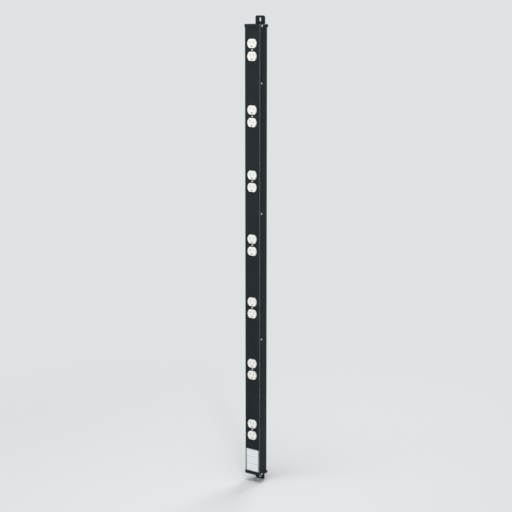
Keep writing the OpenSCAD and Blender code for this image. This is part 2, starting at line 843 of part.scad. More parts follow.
module block_screws() {
    color(zinc) for (side = [1, -1])
        translate([side * block_screw_x, y_floor - block_h, z_block])
            head_front() pan_screw(block_h + sheet_t + screw_tip, head_d, head_h);
}

module bonding_screw() {
    color("green") translate([0, y_floor - wire_d, bond_z])
        head_front() pan_screw(wire_d + sheet_t + screw_tip, terminal_head_d, terminal_head_h);
}

// Insulating bushing snapped into the inlet's hole
module inlet_bushing() {
    neck_r = inlet_d / 2 - insert_gap;
    bore_r = bushing_bore / 2;
    color(phenolic) translate([inlet_x, y_mid, z_cap_out])
        rotate_extrude() polygon([
            [bore_r, -bushing_rim_t],
            [bushing_rim_d / 2, -bushing_rim_t],
            [bushing_rim_d / 2, 0],
            [neck_r, 0],
            [neck_r, cap_t],
            [neck_r + bushing_lip, cap_t],
            [neck_r - bushing_lip, cap_t + bushing_lip_l],
            [bore_r, cap_t + bushing_lip_l]
        ]);
}

module breaker_case() {
    bore_top = z_button_top + button_press + button_gap;
    color(phenolic) difference() {
        union() {
            translate([breaker_x, y_mid, 0])
                slab(-breaker_w / 2, breaker_w / 2, -breaker_d / 2, breaker_d / 2,
                     z_bottom, z_breaker_top);
            translate([breaker_x, y_mid, z_cap_out - neck_reach])
                cylinder(h = neck_reach + cap_t + past, d = neck_d);
        }
        translate([breaker_x, y_mid, z_cap_out - neck_reach - past])
            cylinder(h = bore_top - z_cap_out + neck_reach + past, r = button_d / 2 + button_gap);
    }
}

module breaker_tabs() {
    color(brass) for (side = [1, -1])
        translate([breaker_x, y_mid + side * tab_spacing / 2, z_breaker_top])
            slab(-tab_w / 2, tab_w / 2, -tab_t / 2, tab_t / 2, 0, tab_l);
}

module breaker_nut() {
    color(zinc) translate([breaker_x, y_mid, z_cap_out - nut_t]) difference() {
        cylinder(h = nut_t, r = nut_af / 2 / cos(30), $fn = 6);
        translate([0, 0, -past]) cylinder(h = nut_t + 2 * past, r = neck_d / 2 + tap_gap);
    }
}

// Button of the breaker, drawn set; it slides out when the breaker trips
module reset_button() {
    color("white") translate([breaker_x, y_mid, z_button_top - button_l]) {
        cylinder(h = button_crown, d1 = button_d - 2 * button_crown, d2 = button_d);
        translate([0, 0, button_crown]) cylinder(h = button_l - button_crown, d = button_d);
    }
}

back_channel();
channel_left_wall();
channel_right_wall();
front_cover();
top_end_cap();
bottom_end_cap();
top_bracket();
bottom_bracket();
bracket_screws();
cover_screws();
end_cap_screws();
rating_plate();
for (k = [1:duplex_count]) {
    duplex_face(k);
    duplex_body(k);
    duplex_strap(k);
}
centre_screws();
line_contacts();
neutral_contacts();
earth_contacts();
line_terminal_screws();
neutral_terminal_screws();
earth_terminal_screws();
line_wires();
neutral_wires();
earth_wires();
terminal_block();
pole_plates();
pole_screws();
block_screws();
bonding_screw();
inlet_bushing();
breaker_case();
breaker_tabs();
breaker_nut();
reset_button();
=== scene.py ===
# %% [markdown]
# # Rack power strip
# A tall folded-steel case carries seven white duplex receptacles, a blank plate and, in its
# lower end, a supply inlet and a reset button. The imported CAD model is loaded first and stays
# as the fixed frame: it holds every size and place. The pieces that show are then modelled
# again with softer edges, and what sits inside the case keeps its CAD shape.

# %% Load the frame
import json
import math
import bmesh
import bpy
from mathutils import Matrix, Vector


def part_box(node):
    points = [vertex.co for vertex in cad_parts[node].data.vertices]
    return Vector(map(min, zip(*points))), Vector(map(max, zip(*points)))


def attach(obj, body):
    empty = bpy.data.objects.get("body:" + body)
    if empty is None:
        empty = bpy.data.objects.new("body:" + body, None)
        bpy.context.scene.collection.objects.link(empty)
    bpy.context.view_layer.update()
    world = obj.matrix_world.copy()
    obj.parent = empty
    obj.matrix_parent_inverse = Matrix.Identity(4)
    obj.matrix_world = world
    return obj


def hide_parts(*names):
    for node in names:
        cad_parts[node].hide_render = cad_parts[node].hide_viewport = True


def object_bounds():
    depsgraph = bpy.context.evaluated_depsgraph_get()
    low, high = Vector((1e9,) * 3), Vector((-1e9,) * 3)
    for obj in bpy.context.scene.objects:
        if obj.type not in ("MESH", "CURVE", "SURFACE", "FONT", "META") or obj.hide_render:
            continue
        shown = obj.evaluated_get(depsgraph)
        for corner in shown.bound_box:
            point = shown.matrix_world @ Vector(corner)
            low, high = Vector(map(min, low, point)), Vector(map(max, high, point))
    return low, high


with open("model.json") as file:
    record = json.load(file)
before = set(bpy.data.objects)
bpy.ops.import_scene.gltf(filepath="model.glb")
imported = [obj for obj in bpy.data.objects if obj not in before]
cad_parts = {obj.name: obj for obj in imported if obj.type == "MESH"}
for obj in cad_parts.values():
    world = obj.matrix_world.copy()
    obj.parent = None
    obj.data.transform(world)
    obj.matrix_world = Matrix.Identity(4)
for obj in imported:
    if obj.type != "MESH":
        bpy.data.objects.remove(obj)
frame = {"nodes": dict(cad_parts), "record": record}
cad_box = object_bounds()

# %% [markdown]
# Meshes are drawn in millimetres, because that is how such a case is dimensioned, and each one
# is scaled to metres when it is finished. The frame gives the places. A size that a box around
# a node doesn't show, such as the radius of a bend, is named where it is first needed.

# %% Places, in millimetres
MM = 0.001
DUPLEXES = range(1, 8)


def box_mm(node):
    """Lowest and highest corner of a CAD node, in millimetres."""
    low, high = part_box(node)
    return low / MM, high / MM


def middle_of(node):
    low, high = box_mm(node)
    return (low + high) / 2


cover_low, cover_high = box_mm("front_cover")
cap_low, cap_high = box_mm("top_end_cap")
face_boxes = [box_mm(f"duplex_{k}_face") for k in DUPLEXES]
duplex_heights = [(low.z + high.z) / 2 for low, high in face_boxes]
print("case:", [round(v, 1) for v in cover_high - cover_low], "mm")
print("receptacles at z =", [round(z, 1) for z in duplex_heights])

# %% [markdown]
# ## Finishes
# Every finish is a small node tree that reads Object coordinates. Pictures of real surfaces could
# be used instead, but each piece would have to be unwrapped for them. Noise needs no unwrapping:
# since each piece sits at the origin with its place in its mesh, its coordinates are metres on
# the real object, and a pattern's scale is worked out from its size in millimetres. One helper
# adds a node, sets its options and fills its sockets, from either a value or another node's
# output. A tree is written from its coordinates to its shader, so that each node can name the
# ones before it. The plain colours that came with the CAD model are dropped, so that each finish
# can take its name.

# %% Helpers for materials


def linear(code):
    """sRGB hex colour as linear RGBA."""
    channels = [int(code[i:i + 2], 16) / 255 for i in (1, 3, 5)]
    return [c / 12.92 if c <= 0.04045 else ((c + 0.055) / 1.055) ** 2.4 for c in channels] + [1.0]


def per_metre(size_mm):
    """Texture scale for a pattern that repeats about every size_mm."""
    return 1 / (size_mm * MM)


def add(tree, kind, settings=None, inputs=None):
    """Adds one node; an input is a value, an output to link, or a node for its first output."""
    made = tree.nodes.new(kind)
    for name, value in (settings or {}).items():
        setattr(made, name, value)
    for name, value in (inputs or {}).items():
        if isinstance(value, bpy.types.Node):
            value = value.outputs[0]
        if isinstance(value, bpy.types.NodeSocket):
            tree.links.new(value, made.inputs[name])
        else:
            made.inputs[name].default_value = value
    return made


def start_finish(name):
    """A material with an empty tree: the material, its tree and the place on the piece."""
    material = bpy.data.materials.new(name)
    material.use_nodes = True
    tree = material.node_tree
    tree.nodes.clear()
    place = add(tree, "ShaderNodeTexCoord").outputs["Object"]
    return material, tree, place


for plain in list(bpy.data.materials):
    bpy.data.materials.remove(plain)
finishes = {}

# %% [markdown]
# ### Black powder coat
# Powder is sprayed on dry and melts into a thick satin skin with a fine orange peel. The peel
# is about 2 mm from crest to crest, so a second, coarser swell of 14 mm is drawn as well: that
# is what still shows when the whole strip is in view. Along the front bends and the side edges of
# the end caps the coat is painted a lighter grey and made smoother. This is partly the wear of a
# thin, rubbed skin there, and partly a painted highlight: the bright line such a bend catches. The
# band follows the angle round each bend's axis, strongest halfway, and a finer noise breaks it up.
# On the front bends it stops short of the caps' flats. Both sides and both ends are alike, so it
# reads the coordinates without their signs.

# %% Wear and painted highlight around a bend
BEND_R = 2.4
CAP_BEND = 2.0
BAND_FULL = math.radians(8)
BAND_NONE = math.radians(34)
HALFWAY = math.radians(45)


def around_bend(tree, first, first_mm, second, second_mm):
    """One halfway round a bend whose axis is at the two places, fading to none at its ends."""
    past = [add(tree, "ShaderNodeMath", {"operation": "SUBTRACT"}, {0: value, 1: at * MM})
            for value, at in ((first, first_mm), (second, second_mm))]
    turn = add(tree, "ShaderNodeMath", {"operation": "ARCTAN2"}, {0: past[0], 1: past[1]})
    off = add(tree, "ShaderNodeMath", {"operation": "SUBTRACT"}, {0: turn, 1: HALFWAY})
    away = add(tree, "ShaderNodeMath", {"operation": "ABSOLUTE"}, {0: off})
    return add(tree, "ShaderNodeMapRange", {"interpolation_type": "SMOOTHSTEP"},
               {"Value": away, "From Min": BAND_NONE, "From Max": BAND_FULL})


# Mask of the lighter band along the bends: partly wear, partly a painted highlight.
def bend_wear_and_highlight(tree, place):
    """The front bends, down to the caps' flats, and the side edges of the caps."""
    folded = add(tree, "ShaderNodeVectorMath", {"operation": "ABSOLUTE"}, {0: place})
    split = add(tree, "ShaderNodeSeparateXYZ", inputs={0: folded})
    x, y, z = (split.outputs[axis] for axis in "XYZ")
    front_bend = around_bend(tree, x, cover_high.x - BEND_R, y, -cover_low.y - BEND_R)
    off_flat = add(tree, "ShaderNodeMapRange",
                   inputs={"Value": z, "From Min": cap_high.z * MM,
                           "From Max": (cap_high.z - CAP_BEND) * MM})
    front_wear_and_highlight = add(tree, "ShaderNodeMath", {"operation": "MULTIPLY"}, {0: front_bend, 1: off_flat})
    end_bend = around_bend(tree, x, cap_high.x - CAP_BEND, z, cap_high.z - CAP_BEND)
    return add(tree, "ShaderNodeMath", {"operation": "MAXIMUM"}, {0: front_wear_and_highlight, 1: end_bend})


print("bends to rub: radius", BEND_R, "on the cover and", CAP_BEND, "mm on the caps")

# %% Black powder coat
CLOUD_MM = 45
SWELL_MM = 14
UNEVEN_MM = 5
PEEL_MM = 2
PEEL_DEPTH = 0.15


def powder_coat():
    material, tree, place = start_finish("black_powder_coat")
    cloud, swell, unevenness, peel = (
        add(tree, "ShaderNodeTexNoise",
            inputs={"Vector": place, "Scale": per_metre(size), "Detail": detail})
        for size, detail in ((CLOUD_MM, 3.0), (SWELL_MM, 1.0), (UNEVEN_MM, 5.0), (PEEL_MM, 2.0)))
    tone = add(tree, "ShaderNodeMix", {"data_type": "RGBA"},
               {0: cloud, 6: linear("#151c1f"), 7: linear("#20292c")})
    patchy = add(tree, "ShaderNodeMapRange", {"interpolation_type": "SMOOTHSTEP"},
                 {"Value": unevenness, "From Min": 0.3, "From Max": 0.7, "To Min": 0.3, "To Max": 0.75})
    wear_and_highlight = add(tree, "ShaderNodeMath", {"operation": "MULTIPLY"},
               {0: bend_wear_and_highlight(tree, place), 1: patchy})
    # Lighter grey #7d8588 along the bends: partly wear, partly a painted highlight of the line a
    # bend catches.
    colour = add(tree, "ShaderNodeMix", {"data_type": "RGBA"},
                 {0: wear_and_highlight, 6: tone.outputs[2], 7: linear("#7d8588")})
    satin = add(tree, "ShaderNodeMapRange", inputs={"Value": swell, "To Min": 0.40, "To Max": 0.52})
    gloss = add(tree, "ShaderNodeMix", {"data_type": "FLOAT"}, {0: wear_and_highlight, 2: satin, 3: 0.32})
    waves = add(tree, "ShaderNodeBump",
                inputs={"Strength": 0.25, "Distance": PEEL_DEPTH * MM, "Height": swell})
    skin = add(tree, "ShaderNodeBump",
               inputs={"Strength": 0.65, "Distance": PEEL_DEPTH * MM, "Height": peel,
                       "Normal": waves})
    coat = add(tree, "ShaderNodeBsdfPrincipled",
               inputs={"Base Color": colour.outputs[2], "Roughness": gloss, "Normal": skin,
                       "IOR": 1.5, "Specular IOR Level": 0.1})
    add(tree, "ShaderNodeOutputMaterial", inputs={"Surface": coat})
    return material


finishes["black_powder_coat"] = powder_coat()
print("finish:", finishes["black_powder_coat"].name)

# %% [markdown]
# ### Moulded plastics
# The receptacle faces are white nylon, the rear bodies off-white polyester, the terminal block,
# breaker and bushing black phenolic, and the button acetal. All come out of a steel mould, so
# they share a recipe, and one function makes them all: a faint flow of colour, a fine
# spark-eroded grain in the surface, and a gloss that varies a little where the melt cooled at
# different rates. Real grain is finer than a tenth of a millimetre. It is drawn coarser, at half
# a millimetre and more, so that it shows up close.

# %% Moulded plastics
GRAIN_DEPTH = 0.02


def moulded(name, dark, light, rough, flow_mm, grain_mm, ior):
    material, tree, place = start_finish(name)
    flow = add(tree, "ShaderNodeTexNoise",
               inputs={"Vector": place, "Scale": per_metre(flow_mm), "Detail": 2.0,
                       "Distortion": 0.6})
    grain = add(tree, "ShaderNodeTexNoise",
                inputs={"Vector": place, "Scale": per_metre(grain_mm), "Detail": 2.0})
    colour = add(tree, "ShaderNodeMix", {"data_type": "RGBA"},
                 {0: flow, 6: linear(dark), 7: linear(light)})
    gloss = add(tree, "ShaderNodeMapRange",
                inputs={"Value": grain, "To Min": rough[0], "To Max": rough[1]})
    skin = add(tree, "ShaderNodeBump",
               inputs={"Strength": 0.3, "Distance": GRAIN_DEPTH * MM, "Height": grain})
    plastic = add(tree, "ShaderNodeBsdfPrincipled",
                  inputs={"Base Color": colour.outputs[2], "Roughness": gloss, "Normal": skin,
                          "IOR": ior})
    add(tree, "ShaderNodeOutputMaterial", inputs={"Surface": plastic})
    finishes[name] = material


moulded("white_nylon", "#ecebe4", "#f6f5f0",
        rough=(0.28, 0.42), flow_mm=18, grain_mm=0.8, ior=1.53)
moulded("ivory_polyester", "#d9d5c6", "#e6e3d8",
        rough=(0.45, 0.6), flow_mm=16, grain_mm=0.9, ior=1.54)
moulded("black_phenolic", "#121213", "#1c1c1d",
        rough=(0.45, 0.62), flow_mm=9, grain_mm=0.7, ior=1.6)
moulded("white_button_acetal", "#e6e5df", "#f0efea",
        rough=(0.3, 0.42), flow_mm=6, grain_mm=0.5, ior=1.48)
print("finishes so far:", sorted(finishes))

# %% [markdown]
# ### Plated and bare metals
# Screws and straps are zinc plated, the line side of the contacts is bare brass, the neutral
# side is nickel plated and the earth screws are dipped green. Plate takes on a cloudy, faintly
# uneven tone as it grows, so colour and roughness follow one noise a few millimetres across.
# Fine scratches from handling are drawn coarser than they are, 0.6 mm apart, so that they show.

# %% Metals
SCRATCH_MM = 0.6
SCRATCH_DEPTH = 0.01


def metal(name, dark, light, rough, cloud_mm):
    material, tree, place = start_finish(name)
    cloud = add(tree, "ShaderNodeTexNoise",
                inputs={"Vector": place, "Scale": per_metre(cloud_mm), "Detail": 4.0})
    scratch = add(tree, "ShaderNodeTexNoise",
                  inputs={"Vector": place, "Scale": per_metre(SCRATCH_MM), "Detail": 2.0})
    colour = add(tree, "ShaderNodeMix", {"data_type": "RGBA"},
                 {0: cloud, 6: linear(dark), 7: linear(light)})
    gloss = add(tree, "ShaderNodeMapRange",
                inputs={"Value": cloud, "To Min": rough[1], "To Max": rough[0]})
    skin = add(tree, "ShaderNodeBump",
               inputs={"Strength": 0.2, "Distance": SCRATCH_DEPTH * MM, "Height": scratch})
    plated = add(tree, "ShaderNodeBsdfPrincipled",
                 inputs={"Base Color": colour.outputs[2], "Roughness": gloss, "Normal": skin,
                         "Metallic": 1.0})
    add(tree, "ShaderNodeOutputMaterial", inputs={"Surface": plated})
    finishes[name] = material


metal("zinc_plated_steel", "#a9adb2", "#d3d6d9", rough=(0.24, 0.42), cloud_mm=4)
metal("contact_brass", "#b98f45", "#d8b566", rough=(0.25, 0.45), cloud_mm=5)
metal("nickel_plated_brass", "#b7b3a8", "#d5d2c9", rough=(0.2, 0.36), cloud_mm=5)
metal("green_passivated_steel", "#2c6b3c", "#4f8f58", rough=(0.3, 0.45), cloud_mm=4)
print("metals:", [name for name in finishes if name.endswith(("steel", "brass"))])

# %% [markdown]
# ### Wire jackets
# The conductors inside are covered in extruded PVC. Extrusion leaves faint lines along the
# wire, so the noise is stretched along z, the way most of each wire runs.

# %% Wire jackets
LINE_W = 0.5
LINE_L = 30


def wire_jacket(name, dark, light):
    material, tree, place = start_finish(name)
    across, along = per_metre(LINE_W), per_metre(LINE_L)
    drawn = add(tree, "ShaderNodeMapping",
                inputs={"Vector": place, "Scale": (across, across, along)})
    lines = add(tree, "ShaderNodeTexNoise", inputs={"Vector": drawn, "Scale": 1.0, "Detail": 2.0})
    colour = add(tree, "ShaderNodeMix", {"data_type": "RGBA"},
                 {0: lines, 6: linear(dark), 7: linear(light)})
    gloss = add(tree, "ShaderNodeMapRange", inputs={"Value": lines, "To Min": 0.4, "To Max": 0.55})
    jacket = add(tree, "ShaderNodeBsdfPrincipled",
                 inputs={"Base Color": colour.outputs[2], "Roughness": gloss})
    add(tree, "ShaderNodeOutputMaterial", inputs={"Surface": jacket})
    finishes[name] = material


wire_jacket("black_wire_jacket", "#101011", "#1b1b1c")
wire_jacket("white_wire_jacket", "#d6d5d0", "#e4e3de")
wire_jacket("green_wire_jacket", "#145228", "#1f6e38")
print("wire jackets:", [name for name in finishes if name.endswith("jacket")])

# %% [markdown]
# ### Plate vinyl
# The plate near the lower end is a satin off-white film. It carries no print, only a thin grey
# frame and two rules that part its blank fields. Thin raised bars would do as well, but ink has
# no thickness, so the lines are drawn by distance: the piece's coordinates are moved to the
# plate's middle, and a line is where the distance to it is small.

# %% Plate vinyl
plate_low, plate_high = box_mm("rating_plate")
PLATE_INSET = 2.6
PLATE_LINE = 0.7
FILM_MM = 10


def plate_vinyl():
    material, tree, place = start_finish("label_vinyl")
    middle = (plate_low + plate_high) * (MM / 2)
    local = add(tree, "ShaderNodeMapping", inputs={"Vector": place, "Location": -middle})
    split = add(tree, "ShaderNodeSeparateXYZ", inputs={0: local})
    half = (plate_high - plate_low) * (MM / 2)
    away, past = {}, {}
    for axis, size in (("X", half.x), ("Z", half.z)):
        away[axis] = add(tree, "ShaderNodeMath", {"operation": "ABSOLUTE"},
                         {0: split.outputs[axis]})
        past[axis] = add(tree, "ShaderNodeMath", {"operation": "SUBTRACT"},
                         {0: away[axis], 1: size - PLATE_INSET * MM})
    frame_side = add(tree, "ShaderNodeMath", {"operation": "MAXIMUM"}, {0: past["X"], 1: past["Z"]})
    frame_gap = add(tree, "ShaderNodeMath", {"operation": "ABSOLUTE"}, {0: frame_side})
    to_rule = add(tree, "ShaderNodeMath", {"operation": "SUBTRACT"}, {0: away["Z"], 1: half.z / 3})
    rule_gap = add(tree, "ShaderNodeMath", {"operation": "ABSOLUTE"}, {0: to_rule})
    rule_inside = add(tree, "ShaderNodeMath", {"operation": "MAXIMUM"}, {0: rule_gap, 1: past["X"]})
    nearest = add(tree, "ShaderNodeMath", {"operation": "MINIMUM"}, {0: frame_gap, 1: rule_inside})
    ink = add(tree, "ShaderNodeMath", {"operation": "LESS_THAN"},
              {0: nearest, 1: PLATE_LINE / 2 * MM})
    film = add(tree, "ShaderNodeTexNoise",
               inputs={"Vector": place, "Scale": per_metre(FILM_MM), "Detail": 3.0})
    tone = add(tree, "ShaderNodeMix", {"data_type": "RGBA"},
               {0: film, 6: linear("#e0e4e7"), 7: linear("#e9ecee")})
    colour = add(tree, "ShaderNodeMix", {"data_type": "RGBA"},
                 {0: ink, 6: tone.outputs[2], 7: linear("#8d9295")})
    gloss = add(tree, "ShaderNodeMapRange", inputs={"Value": film, "To Min": 0.38, "To Max": 0.5})
    vinyl = add(tree, "ShaderNodeBsdfPrincipled",
                inputs={"Base Color": colour.outputs[2], "Roughness": gloss})
    add(tree, "ShaderNodeOutputMaterial", inputs={"Surface": vinyl})
    return material


finishes["label_vinyl"] = plate_vinyl()
print("finishes:", len(finishes))

# %% [markdown]
# The record says which finish each CAD node takes. Giving it to every node first means that
# whatever stays visible, down to the contacts at the bottom of the slots, has its own finish.

# %% Finish for every CAD node
for part in frame["record"]["subparts"]:
    mesh = frame["nodes"][part["node"]].data
    mesh.materials.clear()
    mesh.materials.append(finishes[part["material_slot"]])

# %% [markdown]
# ## Modelling helpers
# Most of these pieces are sheet or mouldings, so they are drawn as outlines. A chain of edges is
# laid along the first outline and extruded to the next, point by point, which makes a wall.
# Bridging two loops would be shorter, but that operator guesses how they pair up, and between
# two loops in one plane the guess can come out reversed.

# %% Walls from outlines
WELD = 0.001


def span(start, end, count):
    """count even steps from start to end, with both."""
    return [start + (end - start) * i / count for i in range(count + 1)]


def spread(start, end, count):
    """The same without end, where the next stretch starts."""
    return span(start, end, count)[:-1]


def chain(bm, points, closed=False):
    """Edges through the points."""
    verts = [bm.verts.new(p) for p in points]
    pairs = list(zip(verts, verts[1:]))
    if closed:
        pairs.append((verts[-1], verts[0]))
    return [bm.edges.new(pair) for pair in pairs]


def grow(bm, edges):
    """Extrudes edges in place: the new vertices and the new edges between them."""
    made = bmesh.ops.extrude_edge_only(bm, edges=edges)["geom"]
    verts = {g for g in made if isinstance(g, bmesh.types.BMVert)}
    edges = [g for g in made if isinstance(g, bmesh.types.BMEdge)]
    return verts, [e for e in edges if verts.issuperset(e.verts)]


def pull(bm, edges, way):
    """Extrudes edges along a vector."""
    verts, _ = grow(bm, edges)
    bmesh.ops.translate(bm, vec=way, verts=list(verts))


def loft(bm, outlines, closed=True):
    """Extrudes a chain from outline to outline; gives its first and its last edges."""
    first = last = chain(bm, outlines[0], closed)
    verts = [e.verts[0] for e in first] + ([] if closed else [first[-1].verts[1]])
    for outline in outlines[1:]:
        fresh, last = grow(bm, last)
        verts = [next(e.other_vert(v) for e in v.link_edges if e.other_vert(v) in fresh)
                 for v in verts]
        for vert, point in zip(verts, outline):
            vert.co = point
    return first, last


print("points within", WELD, "mm of each other are welded")

# %% [markdown]
# A finished mesh is welded, scaled to metres and shaded: edges sharper than 30 degrees are marked
# sharp and the rest smooth. Then it becomes a piece that rides on a CAD body, takes a finish and
# stands for its CAD nodes. A short report on each piece counts its faces and its open edges.

# %% From mesh to piece
SHARP = math.radians(30)


def finish_piece(bm, name, slot, nodes, body="case", closed=True):
    """Turns a millimetre bmesh into a piece; an open skin has been turned outwards already."""
    bmesh.ops.remove_doubles(bm, verts=bm.verts, dist=WELD)
    if closed:
        bmesh.ops.recalc_face_normals(bm, faces=bm.faces)
    bmesh.ops.scale(bm, vec=Vector((MM, MM, MM)), verts=bm.verts)
    for face in bm.faces:
        face.smooth = True
    for edge in bm.edges:
        edge.smooth = not edge.is_manifold or edge.calc_face_angle() < SHARP
    mesh = bpy.data.meshes.new(name)
    bm.to_mesh(mesh)
    bm.free()
    piece = bpy.data.objects.new(name, mesh)
    bpy.context.scene.collection.objects.link(piece)
    mesh.materials.append(finishes[slot])
    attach(piece, body)
    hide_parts(*nodes)
    return piece


def report(piece):
    """Prints the faces and open edges that a piece has after its modifiers."""
    bm = bmesh.new()
    bm.from_mesh(piece.evaluated_get(bpy.context.evaluated_depsgraph_get()).to_mesh())
    open_edges = sum(not e.is_manifold for e in bm.edges)
    print(f"{piece.name}: {len(bm.faces)} faces, {open_edges} open edges")
    bm.free()


print("edges are sharp from", round(math.degrees(SHARP)), "degrees")

# %% [markdown]
# ## Folded sheet
# The case is folded from steel sheet. Each sheet is drawn as its outer skin, turned to face
# outwards, and two modifiers do the rest: one gives it a wall inwards, and the other breaks its
# cut edges, as a deburring tool does. Drawing both sides of every wall would be twice the work.

# %% Folded sheet
BEND_STEPS = 6
BROKEN_EDGE = 0.3
CUT_ANGLE = math.radians(50)


def face_outwards(bm, outward):
    """Turns an open skin so that its faces look along outward(face centre)."""
    bmesh.ops.remove_doubles(bm, verts=bm.verts, dist=WELD)
    bmesh.ops.recalc_face_normals(bm, faces=bm.faces)
    lean = sum(f.normal.dot(outward(f.calc_center_median())) * f.calc_area() for f in bm.faces)
    if lean < 0:
        bmesh.ops.reverse_faces(bm, faces=bm.faces)


def sheet_metal(piece, thickness):
    """Gives a skin its wall inwards and breaks its cut edges."""
    wall = piece.modifiers.new("wall", "SOLIDIFY")
    wall.thickness = thickness * MM
    wall.offset = -1.0
    wall.use_even_offset = True
    broken = piece.modifiers.new("broken_edges", "BEVEL")
    broken.width = BROKEN_EDGE * MM
    broken.segments = 2
    broken.profile = 0.5
    broken.limit_method = "ANGLE"
    broken.angle_limit = CUT_ANGLE
    broken.harden_normals = True
    return piece


print("cut edges broken by", BROKEN_EDGE, "mm")

# %% [markdown]
# ## Front cover
# The cover is one sheet, punched with fourteen outlet openings and folded back along both
# sides. It could be a solid with holes cut by booleans, but those leave long slivers that a
# bevel trips over. Here the outline of each opening is extruded to the edge of its own
# rectangular cell, so that the whole face is clean quads. The blank stretches are pulled from
# cell to cell, both bends are spun and the flanges pulled back, as a press brake would do it.

# %% Outline of an outlet
OUTLET_W = 33.4
OUTLET_H = 28.0
OUTLET_SPACING = 38.9
OPENING_GAP = 0.35
SIDE_STEPS = 26
TIP_STEPS = 6
FLAT_STEPS = 6
CELL_X = cover_high.x - BEND_R
CELL_Z = OUTLET_SPACING / 2
CELL_CORNER = math.atan2(CELL_Z, CELL_X)
outlet_offsets = (CELL_Z, -CELL_Z)


def outlet_outline(grown, y, z):
    """Two round sides and two flats, grown millimetres outside an outlet's edge."""
    radius = OUTLET_W / 2 + grown
    flat = OUTLET_H / 2 + grown
    tip = math.asin(flat / radius)
    turns = spread(-tip, -CELL_CORNER, TIP_STEPS)
    turns += spread(-CELL_CORNER, CELL_CORNER, SIDE_STEPS)
    turns += spread(CELL_CORNER, tip, TIP_STEPS)
    flat_end = radius * math.cos(tip)
    half = [(radius * math.cos(a), radius * math.sin(a)) for a in turns]
    half += [(x, flat) for x in spread(flat_end, -flat_end, FLAT_STEPS)]
    return [Vector((s * px, y, z + s * pz)) for s in (1, -1) for px, pz in half]


def cell_outline(y, z):
    """The rectangle around an outlet, with a point outward of each point of its opening."""
    points = []
    for p in outlet_outline(OPENING_GAP, y, 0):
        reach = min(CELL_X / max(abs(p.x), WELD), CELL_Z / max(abs(p.z), WELD))
        points.append(Vector((p.x * reach, y, z + p.z * reach)))
    return points


print("points around an opening:", len(cell_outline(0, 0)))

# %% Front cover
SHEET_T = 1.2


def edges_where(bm, test):
    """Edges with both ends where a test holds."""
    return [e for e in bm.edges if all(test(v.co) for v in e.verts)]


def front_cover():
    bm = bmesh.new()
    y = cover_low.y
    for middle in duplex_heights:
        for z in (middle + offset for offset in outlet_offsets):
            loft(bm, [outlet_outline(OPENING_GAP, y, z), cell_outline(y, z)])
    bmesh.ops.remove_doubles(bm, verts=bm.verts, dist=WELD)
    starts = [z + 2 * CELL_Z for z in duplex_heights] + [duplex_heights[-1] - 2 * CELL_Z]
    ends = [cover_high.z] + [z - 2 * CELL_Z for z in duplex_heights[:-1]] + [cover_low.z]
    for start, end in zip(starts, ends):
        edges = edges_where(bm, lambda co: abs(co.z - start) < WELD)
        pull(bm, edges, Vector((0, 0, end - start)))
    bmesh.ops.remove_doubles(bm, verts=bm.verts, dist=WELD)
    for side in (1, -1):
        edges = edges_where(bm, lambda co: abs(co.x - side * CELL_X) < WELD)
        bend = bmesh.ops.spin(
            bm, geom=edges + list({v for e in edges for v in e.verts}),
            cent=Vector((side * CELL_X, y + BEND_R, 0)), axis=Vector((0, 0, 1)),
            angle=side * math.pi / 2, steps=BEND_STEPS, use_merge=False)
        edges = [g for g in bend["geom_last"] if isinstance(g, bmesh.types.BMEdge)]
        pull(bm, edges, Vector((0, cover_high.y - y - BEND_R, 0)))
    face_outwards(bm, lambda co: Vector((co.x, co.y - cover_high.y, 0)))
    piece = finish_piece(bm, "front_cover_sheet", "black_powder_coat", ["front_cover"],
                         closed=False)
    return sheet_metal(piece, SHEET_T)


report(front_cover())

# %% [markdown]
# ## Back channel
# The channel slips inside the cover and shows behind its flanges and at the back. It could be
# a box with one side taken off, but its bends have the radius of the cover's, so it is drawn as
# a single profile and pulled along the length of the case. The CAD model holds it as three
# nodes, the back and two walls, and this one sheet stands for all of them.

# %% Back channel
channel_low, channel_high = box_mm("back_channel")
channel_rim_y = box_mm("channel_right_wall")[0].y


def tray_outline(half_w, y_round, y_open, radius, z):
    """Open outline with two round corners at y_round and straight sides up to y_open."""
    lean = 1 if y_open > y_round else -1
    corner = span(0, math.pi / 2, BEND_STEPS)
    right = [(half_w, y_open)]
    right += [(half_w - radius * (1 - math.cos(a)), y_round + lean * radius * (1 - math.sin(a)))
              for a in corner]
    left = [(-x, y) for x, y in reversed(right)]
    return [Vector((x, y, z)) for x, y in right + left]


def back_channel():
    bm = bmesh.new()
    low, high = channel_low, channel_high
    edges = chain(bm, tray_outline(high.x, high.y, channel_rim_y, BEND_R, low.z))
    pull(bm, edges, Vector((0, 0, high.z - low.z)))
    face_outwards(bm, lambda co: Vector((co.x, co.y - channel_rim_y, 0)))
    piece = finish_piece(bm, "back_channel_sheet", "black_powder_coat",
                         ["back_channel", "channel_left_wall", "channel_right_wall"],
                         closed=False)
    return sheet_metal(piece, SHEET_T)


report(back_channel())

# %% [markdown]
# ## End caps
# Each cap is a shallow lid with lips over the front and both sides of the case. A bevelled box
# would be quicker, but it would be round along the back as well, where the cap has no lip. So the
# outlines step round a quarter circle from the lips into the flat plate, with one more just past
# it: that last one lies in the flat and keeps its shading flat. The lower cap has two holes, for
# the supply inlet and the breaker's neck, each with a collar of quads around it, and the plate is
# filled between them.

# %% Rims and flats
RIM_STEPS = 5
SUPPORT = 0.2


def rim(radius, support):
    """(inset, rise) along a quarter round, from the wall to the flat, and a support past it."""
    profile = [(radius * (1 - math.cos(a)), radius * math.sin(a))
               for a in span(0, math.pi / 2, RIM_STEPS)]
    return profile + [(radius + support, radius)]


def fill(bm, edges):
    """Flat face inside the outermost loop, open at the others."""
    bmesh.ops.triangle_fill(bm, edges=edges, use_beauty=True, use_dissolve=False)


print("outlines in a rim:", len(rim(CAP_BEND, SUPPORT)))

